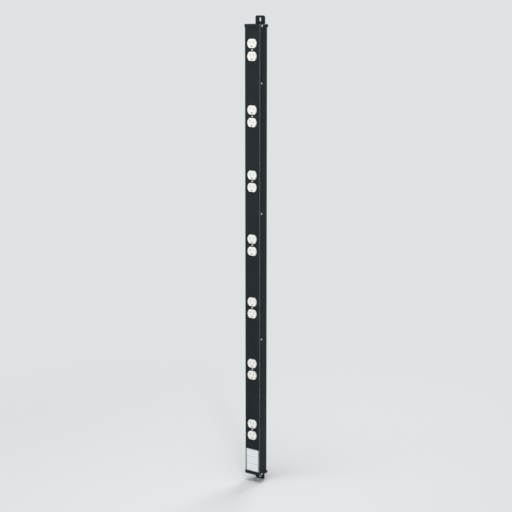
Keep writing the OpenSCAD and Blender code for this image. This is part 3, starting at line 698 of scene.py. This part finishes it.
# %% End caps
CAP_T = 1.5
CAP_CORNER = 4.1
HOLE_MARGIN = 1.5
INLET_HOLE_R = 11.1
NECK_HOLE_R = 5.75


def circle(radius, centre, steps=48):
    """Points of a level circle around centre."""
    turns = spread(0, 2 * math.pi, steps)
    return [centre + Vector((radius * math.cos(a), radius * math.sin(a), 0)) for a in turns]


def end_cap(node, holes):
    low, high = box_mm(node)
    up = 1 if high.z > 0 else -1
    z_out, z_lip = (high.z, low.z) if up > 0 else (low.z, high.z)
    bm = bmesh.new()
    profile = [(0, z_lip)]
    profile += [(inset, z_out - up * (CAP_BEND - rise))
                for inset, rise in rim(CAP_BEND, 2 * SUPPORT)]
    _, flat = loft(
        bm, [tray_outline(high.x - inset, low.y + inset, high.y, CAP_CORNER - inset, z)
             for inset, z in profile], closed=False)
    tips = [v for e in flat for v in e.verts if sum(f in flat for f in v.link_edges) == 1]
    edges = flat + [bm.edges.new(tips)]
    for node_in, radius in holes:
        centre = middle_of(node_in)
        centre.z = z_out
        _, collar = loft(bm, [circle(radius, centre), circle(radius + HOLE_MARGIN, centre)])
        edges += collar
    fill(bm, edges)
    inside = Vector((0, high.y, z_lip))
    face_outwards(bm, lambda co: co - inside)
    piece = finish_piece(bm, node + "_lid", "black_powder_coat", [node], closed=False)
    return sheet_metal(piece, CAP_T)


report(end_cap("top_end_cap", []))
report(end_cap("bottom_end_cap",
               [("inlet_bushing", INLET_HOLE_R), ("reset_button", NECK_HOLE_R)]))

# %% [markdown]
# ## Brackets and blank plate
# Both are flat pieces with round corners and a broken edge all round. A bevel could break that
# edge afterwards, but the walls are extruded anyway, so a chamfer is only a few more outlines. One
# helper draws such a plate from outlines that can grow or shrink: the outer wall and the wall of
# each hole go through the same six depths, and the two faces are filled between them. A bracket
# has the rack's slot past the end of the case and two tapped holes, in which the ends of its
# screws show from behind.

# %% Flat plates


def round_rect(half_w, half_h, radius, middle_x=0.0, middle_z=0.0, steps=10):
    """Outline of an upright rectangle with round corners, as a function of growth and y."""
    def points(grown, y):
        r = radius + grown
        found = []
        for quarter in range(4):
            right = 1 if quarter in (0, 3) else -1
            upper = 1 if quarter in (0, 1) else -1
            for i in range(steps + 1):
                a = math.pi / 2 * (quarter + i / steps)
                p = Vector((middle_x + right * (half_w - radius) + r * math.cos(a), y,
                            middle_z + upper * (half_h - radius) + r * math.sin(a)))
                if not found or (p - found[-1]).length > WELD:
                    found.append(p)
        return found
    return points


def round_hole(radius, middle_x, middle_z, steps=24):
    """Outline of an upright circle, as a function of growth and y."""
    def points(grown, y):
        r = radius + grown
        return [Vector((middle_x + r * math.cos(a), y, middle_z + r * math.sin(a)))
                for a in spread(0, 2 * math.pi, steps)]
    return points


def flat_plate(bm, outline, holes, y_front, y_back, edge):
    """Plate between two planes, its edges broken by a small chamfer."""
    depths = ((2 * edge, y_front), (edge, y_front), (0, y_front + edge),
              (0, y_back - edge), (edge, y_back), (2 * edge, y_back))
    walls = [loft(bm, [points(sign * grown, y) for grown, y in depths])
             for points, sign in [(outline, -1)] + [(hole, 1) for hole in holes]]
    for face in zip(*walls):
        fill(bm, [e for wall in face for e in wall])


print("points around a hole:", len(round_hole(1, 0, 0)(0, 0)))

# %% Brackets
BRACKET_CORNER = 6.0
BRACKET_SCREW_INSET = 8.0
BRACKET_SCREW_DROP = 15.0
TAPPED_R = 1.8
RACK_SLOT_W = 6.4
RACK_SLOT_L = 12.0
rack_slot_z = frame["record"]["mounts"][0]["dims"]["spacing_y_mm"] / 2


def bracket(node):
    low, high = box_mm(node)
    middle = (low + high) / 2
    slot_z = math.copysign(rack_slot_z, middle.z)
    screw_z = math.copysign(cover_high.z - BRACKET_SCREW_DROP, middle.z)
    holes = [round_rect(RACK_SLOT_W / 2, RACK_SLOT_L / 2, RACK_SLOT_W / 2, 0, slot_z)]
    holes += [round_hole(TAPPED_R, side * (high.x - BRACKET_SCREW_INSET), screw_z)
              for side in (1, -1)]
    outline = round_rect(high.x, (high.z - low.z) / 2, BRACKET_CORNER, 0, middle.z)
    bm = bmesh.new()
    flat_plate(bm, outline, holes, low.y, high.y, BROKEN_EDGE)
    return finish_piece(bm, node + "_plate", "black_powder_coat", [node])


report(bracket("top_bracket"))
report(bracket("bottom_bracket"))

# %% Blank plate
PLATE_CORNER = 2.0
PLATE_EDGE = 0.12


def blank_plate():
    bm = bmesh.new()
    middle = (plate_low + plate_high) / 2
    half_h = (plate_high.z - plate_low.z) / 2
    outline = round_rect(plate_high.x, half_h, PLATE_CORNER, 0, middle.z)
    flat_plate(bm, outline, [], plate_low.y, plate_high.y, PLATE_EDGE)
    return finish_piece(bm, "blank_plate", "label_vinyl", ["rating_plate"])


report(blank_plate())

# %% [markdown]
# ## Receptacle faces
# Each duplex has one white moulding: a flange behind the cover and two outlets that stand
# proud through the openings. An outlet stands on a ledge a tenth of a millimetre inside the
# flange's edge. Its wall leans in a little, so that it leaves its mould, and rolls over a soft
# rim into the flat front. The slots have a bevelled mouth that guides a blade in. They could be
# cut out afterwards, but a slot drawn as a wall of its own keeps its bevel even all round, so the
# fronts are filled around those mouths.

# %% Slots of an outlet
BLADE_X = 6.35
BLADE_RISE = 3.2
EARTH_DROP = 8.7
SLOT_W = 2.2
SLOT_CORNER = 0.3
NEUTRAL_H = 9.0
LINE_H = 7.2
EARTH_R = 2.9
EARTH_TOP = 2.4
EARTH_STEPS = 16


def earth_outline(z):
    """Round below and square above, as a function of growth and y."""
    def points(grown, y):
        r = EARTH_R + grown
        top = EARTH_TOP + grown
        corner = SLOT_CORNER + grown
        found = [(r * math.cos(a), r * math.sin(a))
                 for a in spread(math.pi, 2 * math.pi, EARTH_STEPS)]
        found += [(r, 0), (r, top - corner), (r - corner, top), (corner - r, top),
                  (-r, top - corner)]
        return [Vector((x, y, z + h)) for x, h in found]
    return points


def slot_outlines(z):
    """The two blade slots and the earth hole of an outlet centred at z."""
    blade_z = z + BLADE_RISE
    return [
        round_rect(SLOT_W / 2, NEUTRAL_H / 2, SLOT_CORNER, -BLADE_X, blade_z, steps=2),
        round_rect(SLOT_W / 2, LINE_H / 2, SLOT_CORNER, BLADE_X, blade_z, steps=2),
        earth_outline(z - EARTH_DROP),
    ]


print("points around the slots:", [len(points(0, 0)) for points in slot_outlines(0)])

# %% Receptacle faces
SEAT_LEDGE = 0.1
WALL_LEAN = 0.15
OUTLET_RIM = 1.0
MOUTH = 0.4
FLANGE_CORNER = 1.0
SCREW_HOLE_R = 2.0


def receptacle_face(k):
    node = f"duplex_{k}_face"
    low, high = box_mm(node)
    middle = (low.z + high.z) / 2
    y_seat = cover_low.y + SHEET_T
    bm = bmesh.new()
    flange = round_rect(high.x, (high.z - low.z) / 2, FLANGE_CORNER, 0, middle)
    seat, back = [], []
    for outline in (flange, round_hole(SCREW_HOLE_R, 0, middle)):
        near, far = loft(bm, [outline(0, y) for y in (y_seat, high.y)])
        seat += near
        back += far
    wall = [(SEAT_LEDGE, y_seat)]
    wall += [(SEAT_LEDGE + WALL_LEAN + inset, low.y + OUTLET_RIM - rise)
             for inset, rise in rim(OUTLET_RIM, SUPPORT)]
    depths = ((MOUTH + SUPPORT, low.y), (MOUTH, low.y), (0, low.y + MOUTH), (0, high.y))
    for z in (middle + offset for offset in outlet_offsets):
        near, front = loft(bm, [outlet_outline(-inset, y, z) for inset, y in wall])
        seat += near
        for slot in slot_outlines(z):
            near, far = loft(bm, [slot(grown, y) for grown, y in depths])
            front += near
            back += far
        fill(bm, front)
    fill(bm, seat)
    fill(bm, back)
    return finish_piece(bm, f"receptacle_{k}_face", "white_nylon", [node])


for k in DUPLEXES:
    report(receptacle_face(k))

# %% [markdown]
# ## Screws
# All these screws are zinc plated pan heads with a cross recess. Cutting the recess out of the
# head could leave thin slivers in its dome. Instead one screw is spun from its profile, open at
# the top of the dome, and the mouth of a cross-shaped recess is bridged to that opening. Copies
# of it then stand where the screws are, each turned to its own angle, because no fitter lines
# screws up. Those of the brackets and the terminal block have their heads inside the case, and
# only their tips show from behind.

# %% One pan head screw
HEAD_R = 3.3
HEAD_H = 2.0
HEAD_WALL = 0.8
FOOT_INSET = 0.1
FOOT_RISE = 0.15
CROWN_R = 2.046
CROWN_RISE = 1.08
DOME_STEPS = 5
SHANK_R = 1.75
TIP_CHAMFER = 0.4
CROSS_REACH = 1.75
CROSS_HALF = 0.5
CROSS_DEPTH = 1.3
CROSS_TAPER = 0.7
SCREW_STEPS = 24


def cross_outline(scale, z):
    """Plus sign with a point at each corner and in the middle of each side."""
    arm = [(CROSS_REACH, -CROSS_HALF), (CROSS_REACH, CROSS_HALF), (CROSS_HALF, CROSS_HALF)]
    corners = []
    for quarter in range(4):
        turn = Matrix.Rotation(quarter * math.pi / 2, 2)
        corners += [turn @ Vector(p) for p in arm]
    points = []
    for here, following in zip(corners, corners[1:] + corners[:1]):
        points += [here, (here + following) / 2]
    return [Vector((scale * p.x, scale * p.y, z)) for p in points]


def pan_screw(length):
    """Mesh of a screw whose head stands on z = 0, in millimetres."""
    bm = bmesh.new()
    profile = [(0, -length), (SHANK_R - TIP_CHAMFER, -length), (SHANK_R, TIP_CHAMFER - length),
               (SHANK_R, 0), (HEAD_R - FOOT_INSET, 0), (HEAD_R, FOOT_RISE)]
    profile += [(CROWN_R + (HEAD_R - CROWN_R) * math.cos(a), HEAD_WALL + CROWN_RISE * math.sin(a))
                for a in span(0, math.pi / 2, DOME_STEPS)]
    edges = chain(bm, [Vector((r, 0, z)) for r, z in profile])
    bmesh.ops.spin(bm, geom=edges + list(bm.verts), cent=Vector((0, 0, 0)),
                   axis=Vector((0, 0, 1)), angle=2 * math.pi, steps=SCREW_STEPS, use_merge=True)
    bmesh.ops.remove_doubles(bm, verts=bm.verts, dist=WELD)
    opening = [e for e in bm.edges if e.is_boundary]
    mouth, bottom = loft(
        bm, [cross_outline(1.0, HEAD_H), cross_outline(CROSS_TAPER, HEAD_H - CROSS_DEPTH)])
    bmesh.ops.bridge_loops(bm, edges=opening + mouth)
    fill(bm, bottom)
    mesh = bpy.data.meshes.new("pan_screw")
    bm.to_mesh(mesh)
    bm.free()
    return mesh


print("points around a recess:", len(cross_outline(1.0, 0)))

# %% Groups of screws
GOLDEN_TURN = math.pi * (3 - math.sqrt(5))
COVER_SCREW_L = 3.8
CAP_SCREW_L = 5.5
FRONT = Vector((0, -1, 0))


def screw_group(name, node, length, seats):
    """Copies of one screw; a seat is where the head stands and the way it points."""
    unit = pan_screw(length)
    bm = bmesh.new()
    for i, (place, out) in enumerate(seats):
        first = len(bm.verts)
        bm.from_mesh(unit)
        bm.verts.ensure_lookup_table()
        turn = Vector((0, 0, 1)).rotation_difference(out).to_matrix().to_4x4()
        spun = Matrix.Rotation(i * GOLDEN_TURN, 4, "Z")
        bmesh.ops.transform(bm, matrix=Matrix.Translation(place) @ turn @ spun,
                            verts=bm.verts[first:])
    bpy.data.meshes.remove(unit)
    return finish_piece(bm, name, "zinc_plated_steel", [node])


side_y = middle_of("cover_screws").y
cover_screw_heights = [
    (upper + lower) / 2 for upper, lower in zip(duplex_heights[0::2], duplex_heights[1::2])
]
cap_screw_height = (cover_high.z + cap_low.z) / 2
centre_tip_y = box_mm("centre_screws")[1].y
sides = [Vector((side, 0, 0)) for side in (1, -1)]
report(screw_group("centre_screw_heads", "centre_screws", centre_tip_y - cover_low.y,
                   [(Vector((0, cover_low.y, z)), FRONT) for z in duplex_heights]))
report(screw_group("cover_screw_heads", "cover_screws", COVER_SCREW_L,
                   [(Vector((out.x * cover_high.x, side_y, z)), out)
                    for z in cover_screw_heights for out in sides]))
report(screw_group("end_cap_screw_heads", "end_cap_screws", CAP_SCREW_L,
                   [(Vector((out.x * cap_high.x, side_y, z)), out)
                    for z in (cap_screw_height, -cap_screw_height) for out in sides]))
for node in ("bracket_screws", "block_screws"):
    low, high = box_mm(node)
    seat_y = low.y + HEAD_H
    heights = sorted({round(low.z + HEAD_R, 1), round(high.z - HEAD_R, 1)})
    report(screw_group(node + "_in_case", node, high.y - seat_y,
                       [(Vector((out.x * (high.x - HEAD_R), seat_y, z)), FRONT)
                        for z in heights for out in sides]))

# %% [markdown]
# ## Supply end
# Under the lower cap sit the insulating bushing of the supply inlet and a push-to-reset
# breaker: a threaded neck, a hexagon nut and the white button inside it. These are turned
# parts, so their profiles are spun. The neck's starts at the blind end of the button's bore and
# comes back up outside to the breaker's case. Its thread could be a true helix, but at this size
# plain rings a millimetre apart look the same and close on themselves. The nut is lofted through
# outlines that are the smaller of a hexagon and a cone, which is how its corners get their
# chamfer, and back up through its bore.

# %% Turned parts


def turned(bm, profile, centre, closed=True, steps=48):
    """Spins a profile of (radius, z) around an upright axis; an open one starts on it."""
    edges = chain(bm, [Vector((centre.x + r, centre.y, z)) for r, z in profile], closed)
    bmesh.ops.spin(bm, geom=edges + list({v for e in edges for v in e.verts}), cent=centre,
                   axis=Vector((0, 0, 1)), angle=2 * math.pi, steps=steps, use_merge=True)


def arc_profile(radius_to, z_to, radius, start, end, steps=4):
    """Points of a small round in a profile, around (radius_to, z_to)."""
    return [(radius_to + radius * math.cos(a), z_to + radius * math.sin(a))
            for a in span(start, end, steps)]


print("points in a small round:", len(arc_profile(0, 0, 1, 0, math.pi / 2)))

# %% Inlet bushing
BUSHING_BORE_R = 8.0
BUSHING_NECK_R = 10.9
BUSHING_LIP = 0.5
BUSHING_ROUND = 0.9


def inlet_bushing():
    low, high = box_mm("inlet_bushing")
    rim_r = (high.x - low.x) / 2
    seat = box_mm("bottom_end_cap")[0].z
    profile = arc_profile(BUSHING_BORE_R + BUSHING_ROUND, low.z + BUSHING_ROUND, BUSHING_ROUND,
                          math.pi, 1.5 * math.pi)
    profile += arc_profile(rim_r - BUSHING_ROUND, low.z + BUSHING_ROUND, BUSHING_ROUND,
                           1.5 * math.pi, 2 * math.pi)
    profile += [(rim_r, seat), (BUSHING_NECK_R, seat), (BUSHING_NECK_R, seat + CAP_T),
                (BUSHING_NECK_R + BUSHING_LIP, seat + CAP_T),
                (BUSHING_NECK_R - BUSHING_LIP, high.z), (BUSHING_BORE_R, high.z)]
    bm = bmesh.new()
    turned(bm, profile, middle_of("inlet_bushing"))
    return finish_piece(bm, "inlet_bushing_ring", "black_phenolic", ["inlet_bushing"])


report(inlet_bushing())

# %% Breaker
NECK_R = 5.5
BUTTON_BORE_R = 3.8
THREAD_PITCH = 1.0
THREAD_DEPTH = 0.35
CREST_HALF = 0.1
NECK_CHAMFER = 0.3
BORE_HEADROOM = 1.1
BREAKER_W = 15.0
BREAKER_D = 22.0
BREAKER_EDGE = 0.8
FACES_DOWN = -0.99


def breaker():
    low, high = box_mm("breaker_case")
    seat = cover_low.z
    axis = middle_of("reset_button")
    bm = bmesh.new()
    bmesh.ops.create_cube(bm, size=1.0)
    bmesh.ops.scale(bm, vec=Vector((BREAKER_W, BREAKER_D, high.z - seat)), verts=bm.verts)
    bmesh.ops.translate(bm, vec=Vector((axis.x, axis.y, (high.z + seat) / 2)), verts=bm.verts)
    bmesh.ops.bevel(bm, geom=list(bm.edges), offset=BREAKER_EDGE, segments=2, profile=0.5,
                    affect="EDGES", material=-1)
    bm.normal_update()
    base = [f for f in bm.faces if f.normal.z < FACES_DOWN]
    bmesh.ops.delete(bm, geom=base, context="FACES_ONLY")
    root = NECK_R - THREAD_DEPTH
    bore_top = box_mm("reset_button")[1].z + BORE_HEADROOM
    profile = [(0, bore_top), (BUTTON_BORE_R, bore_top), (BUTTON_BORE_R, low.z + NECK_CHAMFER),
               (BUTTON_BORE_R + NECK_CHAMFER, low.z), (root, low.z)]
    turns = int((seat - low.z) / THREAD_PITCH)
    for i in range(turns):
        z = low.z + (i + 0.5) * THREAD_PITCH
        profile += [(NECK_R, z - CREST_HALF), (NECK_R, z + CREST_HALF),
                    (root, z + THREAD_PITCH / 2)]
    profile.append((root, seat))
    turned(bm, profile, axis, closed=False)
    bmesh.ops.remove_doubles(bm, verts=bm.verts, dist=WELD)
    fill(bm, [e for e in bm.edges if e.is_boundary])
    return finish_piece(bm, "breaker_body", "black_phenolic", ["breaker_case"])


report(breaker())

# %% Nut
NUT_FLAT = 7.0
NUT_CHAMFER = 0.9
CHAMFER_LEAN = math.radians(60)
CHAMFER_STEPS = 6
NUT_BORE_GAP = 0.05
NUT_POINTS = 120


def breaker_nut():
    low, high = box_mm("breaker_nut")
    axis = middle_of("reset_button")
    corner = NUT_FLAT / math.cos(math.pi / 6)
    bm = bmesh.new()

    def outline(cone_r, z):
        points = []
        for a in spread(0, 2 * math.pi, NUT_POINTS):
            hexagon = NUT_FLAT / math.cos((a + math.pi / 6) % (math.pi / 3) - math.pi / 6)
            r = min(hexagon, cone_r)
            points.append(Vector((axis.x + r * math.cos(a), axis.y + r * math.sin(a), z)))
        return points

    walls = [(corner - NUT_CHAMFER - 2 * SUPPORT, low.z)]
    walls += [(corner - inset, low.z + (NUT_CHAMFER - inset) / math.tan(CHAMFER_LEAN))
              for inset in span(NUT_CHAMFER, 0, CHAMFER_STEPS)]
    outside = [outline(r, z) for r, z in walls + [(corner, high.z)]]
    bore = [circle(NECK_R + NUT_BORE_GAP, Vector((axis.x, axis.y, z)), NUT_POINTS)
            for z in (high.z, low.z)]
    loft(bm, outside + bore + outside[:1])
    return finish_piece(bm, "breaker_nut_hex", "zinc_plated_steel", ["breaker_nut"])


report(breaker_nut())

# %% Button
BUTTON_ROUND = 1.0
BUTTON_CHAMFER = 0.3


def reset_button():
    low, high = box_mm("reset_button")
    radius = (high.x - low.x) / 2
    profile = [(0, low.z), (radius - BUTTON_ROUND, low.z)]
    profile += arc_profile(radius - BUTTON_ROUND, low.z + BUTTON_ROUND, BUTTON_ROUND,
                           1.5 * math.pi, 2 * math.pi)[1:]
    profile += [(radius, high.z - BUTTON_CHAMFER), (radius - BUTTON_CHAMFER, high.z), (0, high.z)]
    bm = bmesh.new()
    turned(bm, profile, middle_of("reset_button"), closed=False)
    return finish_piece(bm, "reset_button_cap", "white_button_acetal", ["reset_button"],
                        body="reset_button")


report(reset_button())

# %% [markdown]
# ## Stage
# The strip stands on a pale floor. Near it the floor is an ordinary matt surface, so that it
# takes a soft shadow. Further out it fades, for the eye and for reflections, into the pale tone
# of the surroundings, so that no horizon line shows. A backdrop curved up behind the strip would
# hide the horizon too, but only from one side.

# %% Floor
PALE = linear("#dfe2e4")
FLOOR_TONE = linear("#eceeef")
FLOOR_R = 30.0
FADE_FROM = 0.3
FADE_TO = 1.7
floor_z = cad_box[0][2]


def seen_ray(tree):
    """One where a ray comes from the camera, a reflection or a transparent surface."""
    path = add(tree, "ShaderNodeLightPath")
    seen = path.outputs["Is Camera Ray"]
    for other in ("Is Glossy Ray", "Is Transmission Ray"):
        seen = add(tree, "ShaderNodeMath", {"operation": "MAXIMUM"},
                   {0: seen, 1: path.outputs[other]})
    return seen


def pale_floor():
    material, tree, place = start_finish("pale_studio_floor")
    matt = add(tree, "ShaderNodeBsdfPrincipled",
               inputs={"Base Color": FLOOR_TONE, "Roughness": 0.9, "Specular IOR Level": 0.1})
    flat = add(tree, "ShaderNodeVectorMath", {"operation": "MULTIPLY"},
               {0: place, 1: (1.0, 1.0, 0.0)})
    away = add(tree, "ShaderNodeVectorMath", {"operation": "LENGTH"}, {0: flat})
    fade = add(tree, "ShaderNodeMapRange", {"interpolation_type": "SMOOTHSTEP"},
               {"Value": away.outputs["Value"], "From Min": FADE_FROM, "From Max": FADE_TO})
    shown = add(tree, "ShaderNodeMath", {"operation": "MULTIPLY"}, {0: fade, 1: seen_ray(tree)})
    glow = add(tree, "ShaderNodeEmission", inputs={"Color": PALE, "Strength": 1.0})
    mixed = add(tree, "ShaderNodeMixShader", inputs={0: shown, 1: matt, 2: glow})
    add(tree, "ShaderNodeOutputMaterial", inputs={"Surface": mixed})
    bm = bmesh.new()
    bmesh.ops.create_circle(bm, cap_ends=True, segments=96, radius=FLOOR_R)
    bmesh.ops.translate(bm, vec=Vector((0, 0, floor_z)), verts=bm.verts)
    mesh = bpy.data.meshes.new("floor")
    bm.to_mesh(mesh)
    bm.free()
    mesh.materials.append(material)
    floor = bpy.data.objects.new("floor", mesh)
    bpy.context.scene.collection.objects.link(floor)


pale_floor()
print("floor at z =", round(floor_z, 4))

# %% Surroundings
SKY_LIGHT = 0.42


def surroundings():
    world = bpy.data.worlds.new("studio")
    bpy.context.scene.world = world
    world.use_nodes = True
    tree = world.node_tree
    tree.nodes.clear()
    soft = add(tree, "ShaderNodeBackground", inputs={"Color": PALE, "Strength": SKY_LIGHT})
    pale = add(tree, "ShaderNodeBackground", inputs={"Color": PALE, "Strength": 1.0})
    mixed = add(tree, "ShaderNodeMixShader", inputs={0: seen_ray(tree), 1: soft, 2: pale})
    add(tree, "ShaderNodeOutputWorld", inputs={"Surface": mixed})


surroundings()
print("surroundings:", bpy.context.scene.world.name)

# %% [markdown]
# ## Light and camera
# A tall softbox in front, to the left, lights the outlets and leaves the right side dark. A narrow
# one at the right is mirrored by the right bend alone and draws the bright line down it. One above
# lights the floor and the top end, and one behind opens the back. A single large lamp would be
# simpler, but it gives a dark coat nothing narrow to mirror. The camera stands to the right of the
# strip and a little above its middle, four metres away, with a long lens.

# %% Lights
centre = (Vector(cad_box[0]) + Vector(cad_box[1])) / 2


def around(azimuth, elevation, distance):
    """Place seen from the strip's middle; azimuth 0 is straight in front."""
    a, e = math.radians(azimuth), math.radians(elevation)
    way = Vector((math.sin(a) * math.cos(e), -math.cos(a) * math.cos(e), math.sin(e)))
    return centre + distance * way


def aim(thing, place):
    thing.location = place
    thing.rotation_euler = (centre - place).to_track_quat("-Z", "Y").to_euler()


def softbox(name, azimuth, elevation, distance, width, height, power):
    data = bpy.data.lights.new(name, "AREA")
    data.shape = "RECTANGLE"
    data.size, data.size_y = width, height
    data.energy = power
    lamp = bpy.data.objects.new(name, data)
    bpy.context.scene.collection.objects.link(lamp)
    aim(lamp, around(azimuth, elevation, distance))


softbox("key", azimuth=-28, elevation=5, distance=3.6, width=1.8, height=2.4, power=29)
softbox("edge", azimuth=46, elevation=2, distance=3.2, width=0.25, height=1.4, power=22)
softbox("top", azimuth=20, elevation=72, distance=3.0, width=1.6, height=1.6, power=50)
softbox("back", azimuth=188, elevation=34, distance=3.4, width=1.8, height=1.6, power=44)

# %% Camera
CAMERA_AZIMUTH = 36.0
CAMERA_ELEVATION = 11.6
CAMERA_DISTANCE = 4.24
LENS_MM = 94.0
SENSOR_MM = 36.0
camera_data = bpy.data.cameras.new("camera")
camera_data.lens = LENS_MM
camera_data.sensor_width = SENSOR_MM
camera = bpy.data.objects.new("camera", camera_data)
bpy.context.scene.collection.objects.link(camera)
aim(camera, around(CAMERA_AZIMUTH, CAMERA_ELEVATION, CAMERA_DISTANCE))
bpy.context.scene.camera = camera
bpy.context.scene.view_settings.view_transform = "Standard"
print("camera at", [round(v, 3) for v in camera.location])
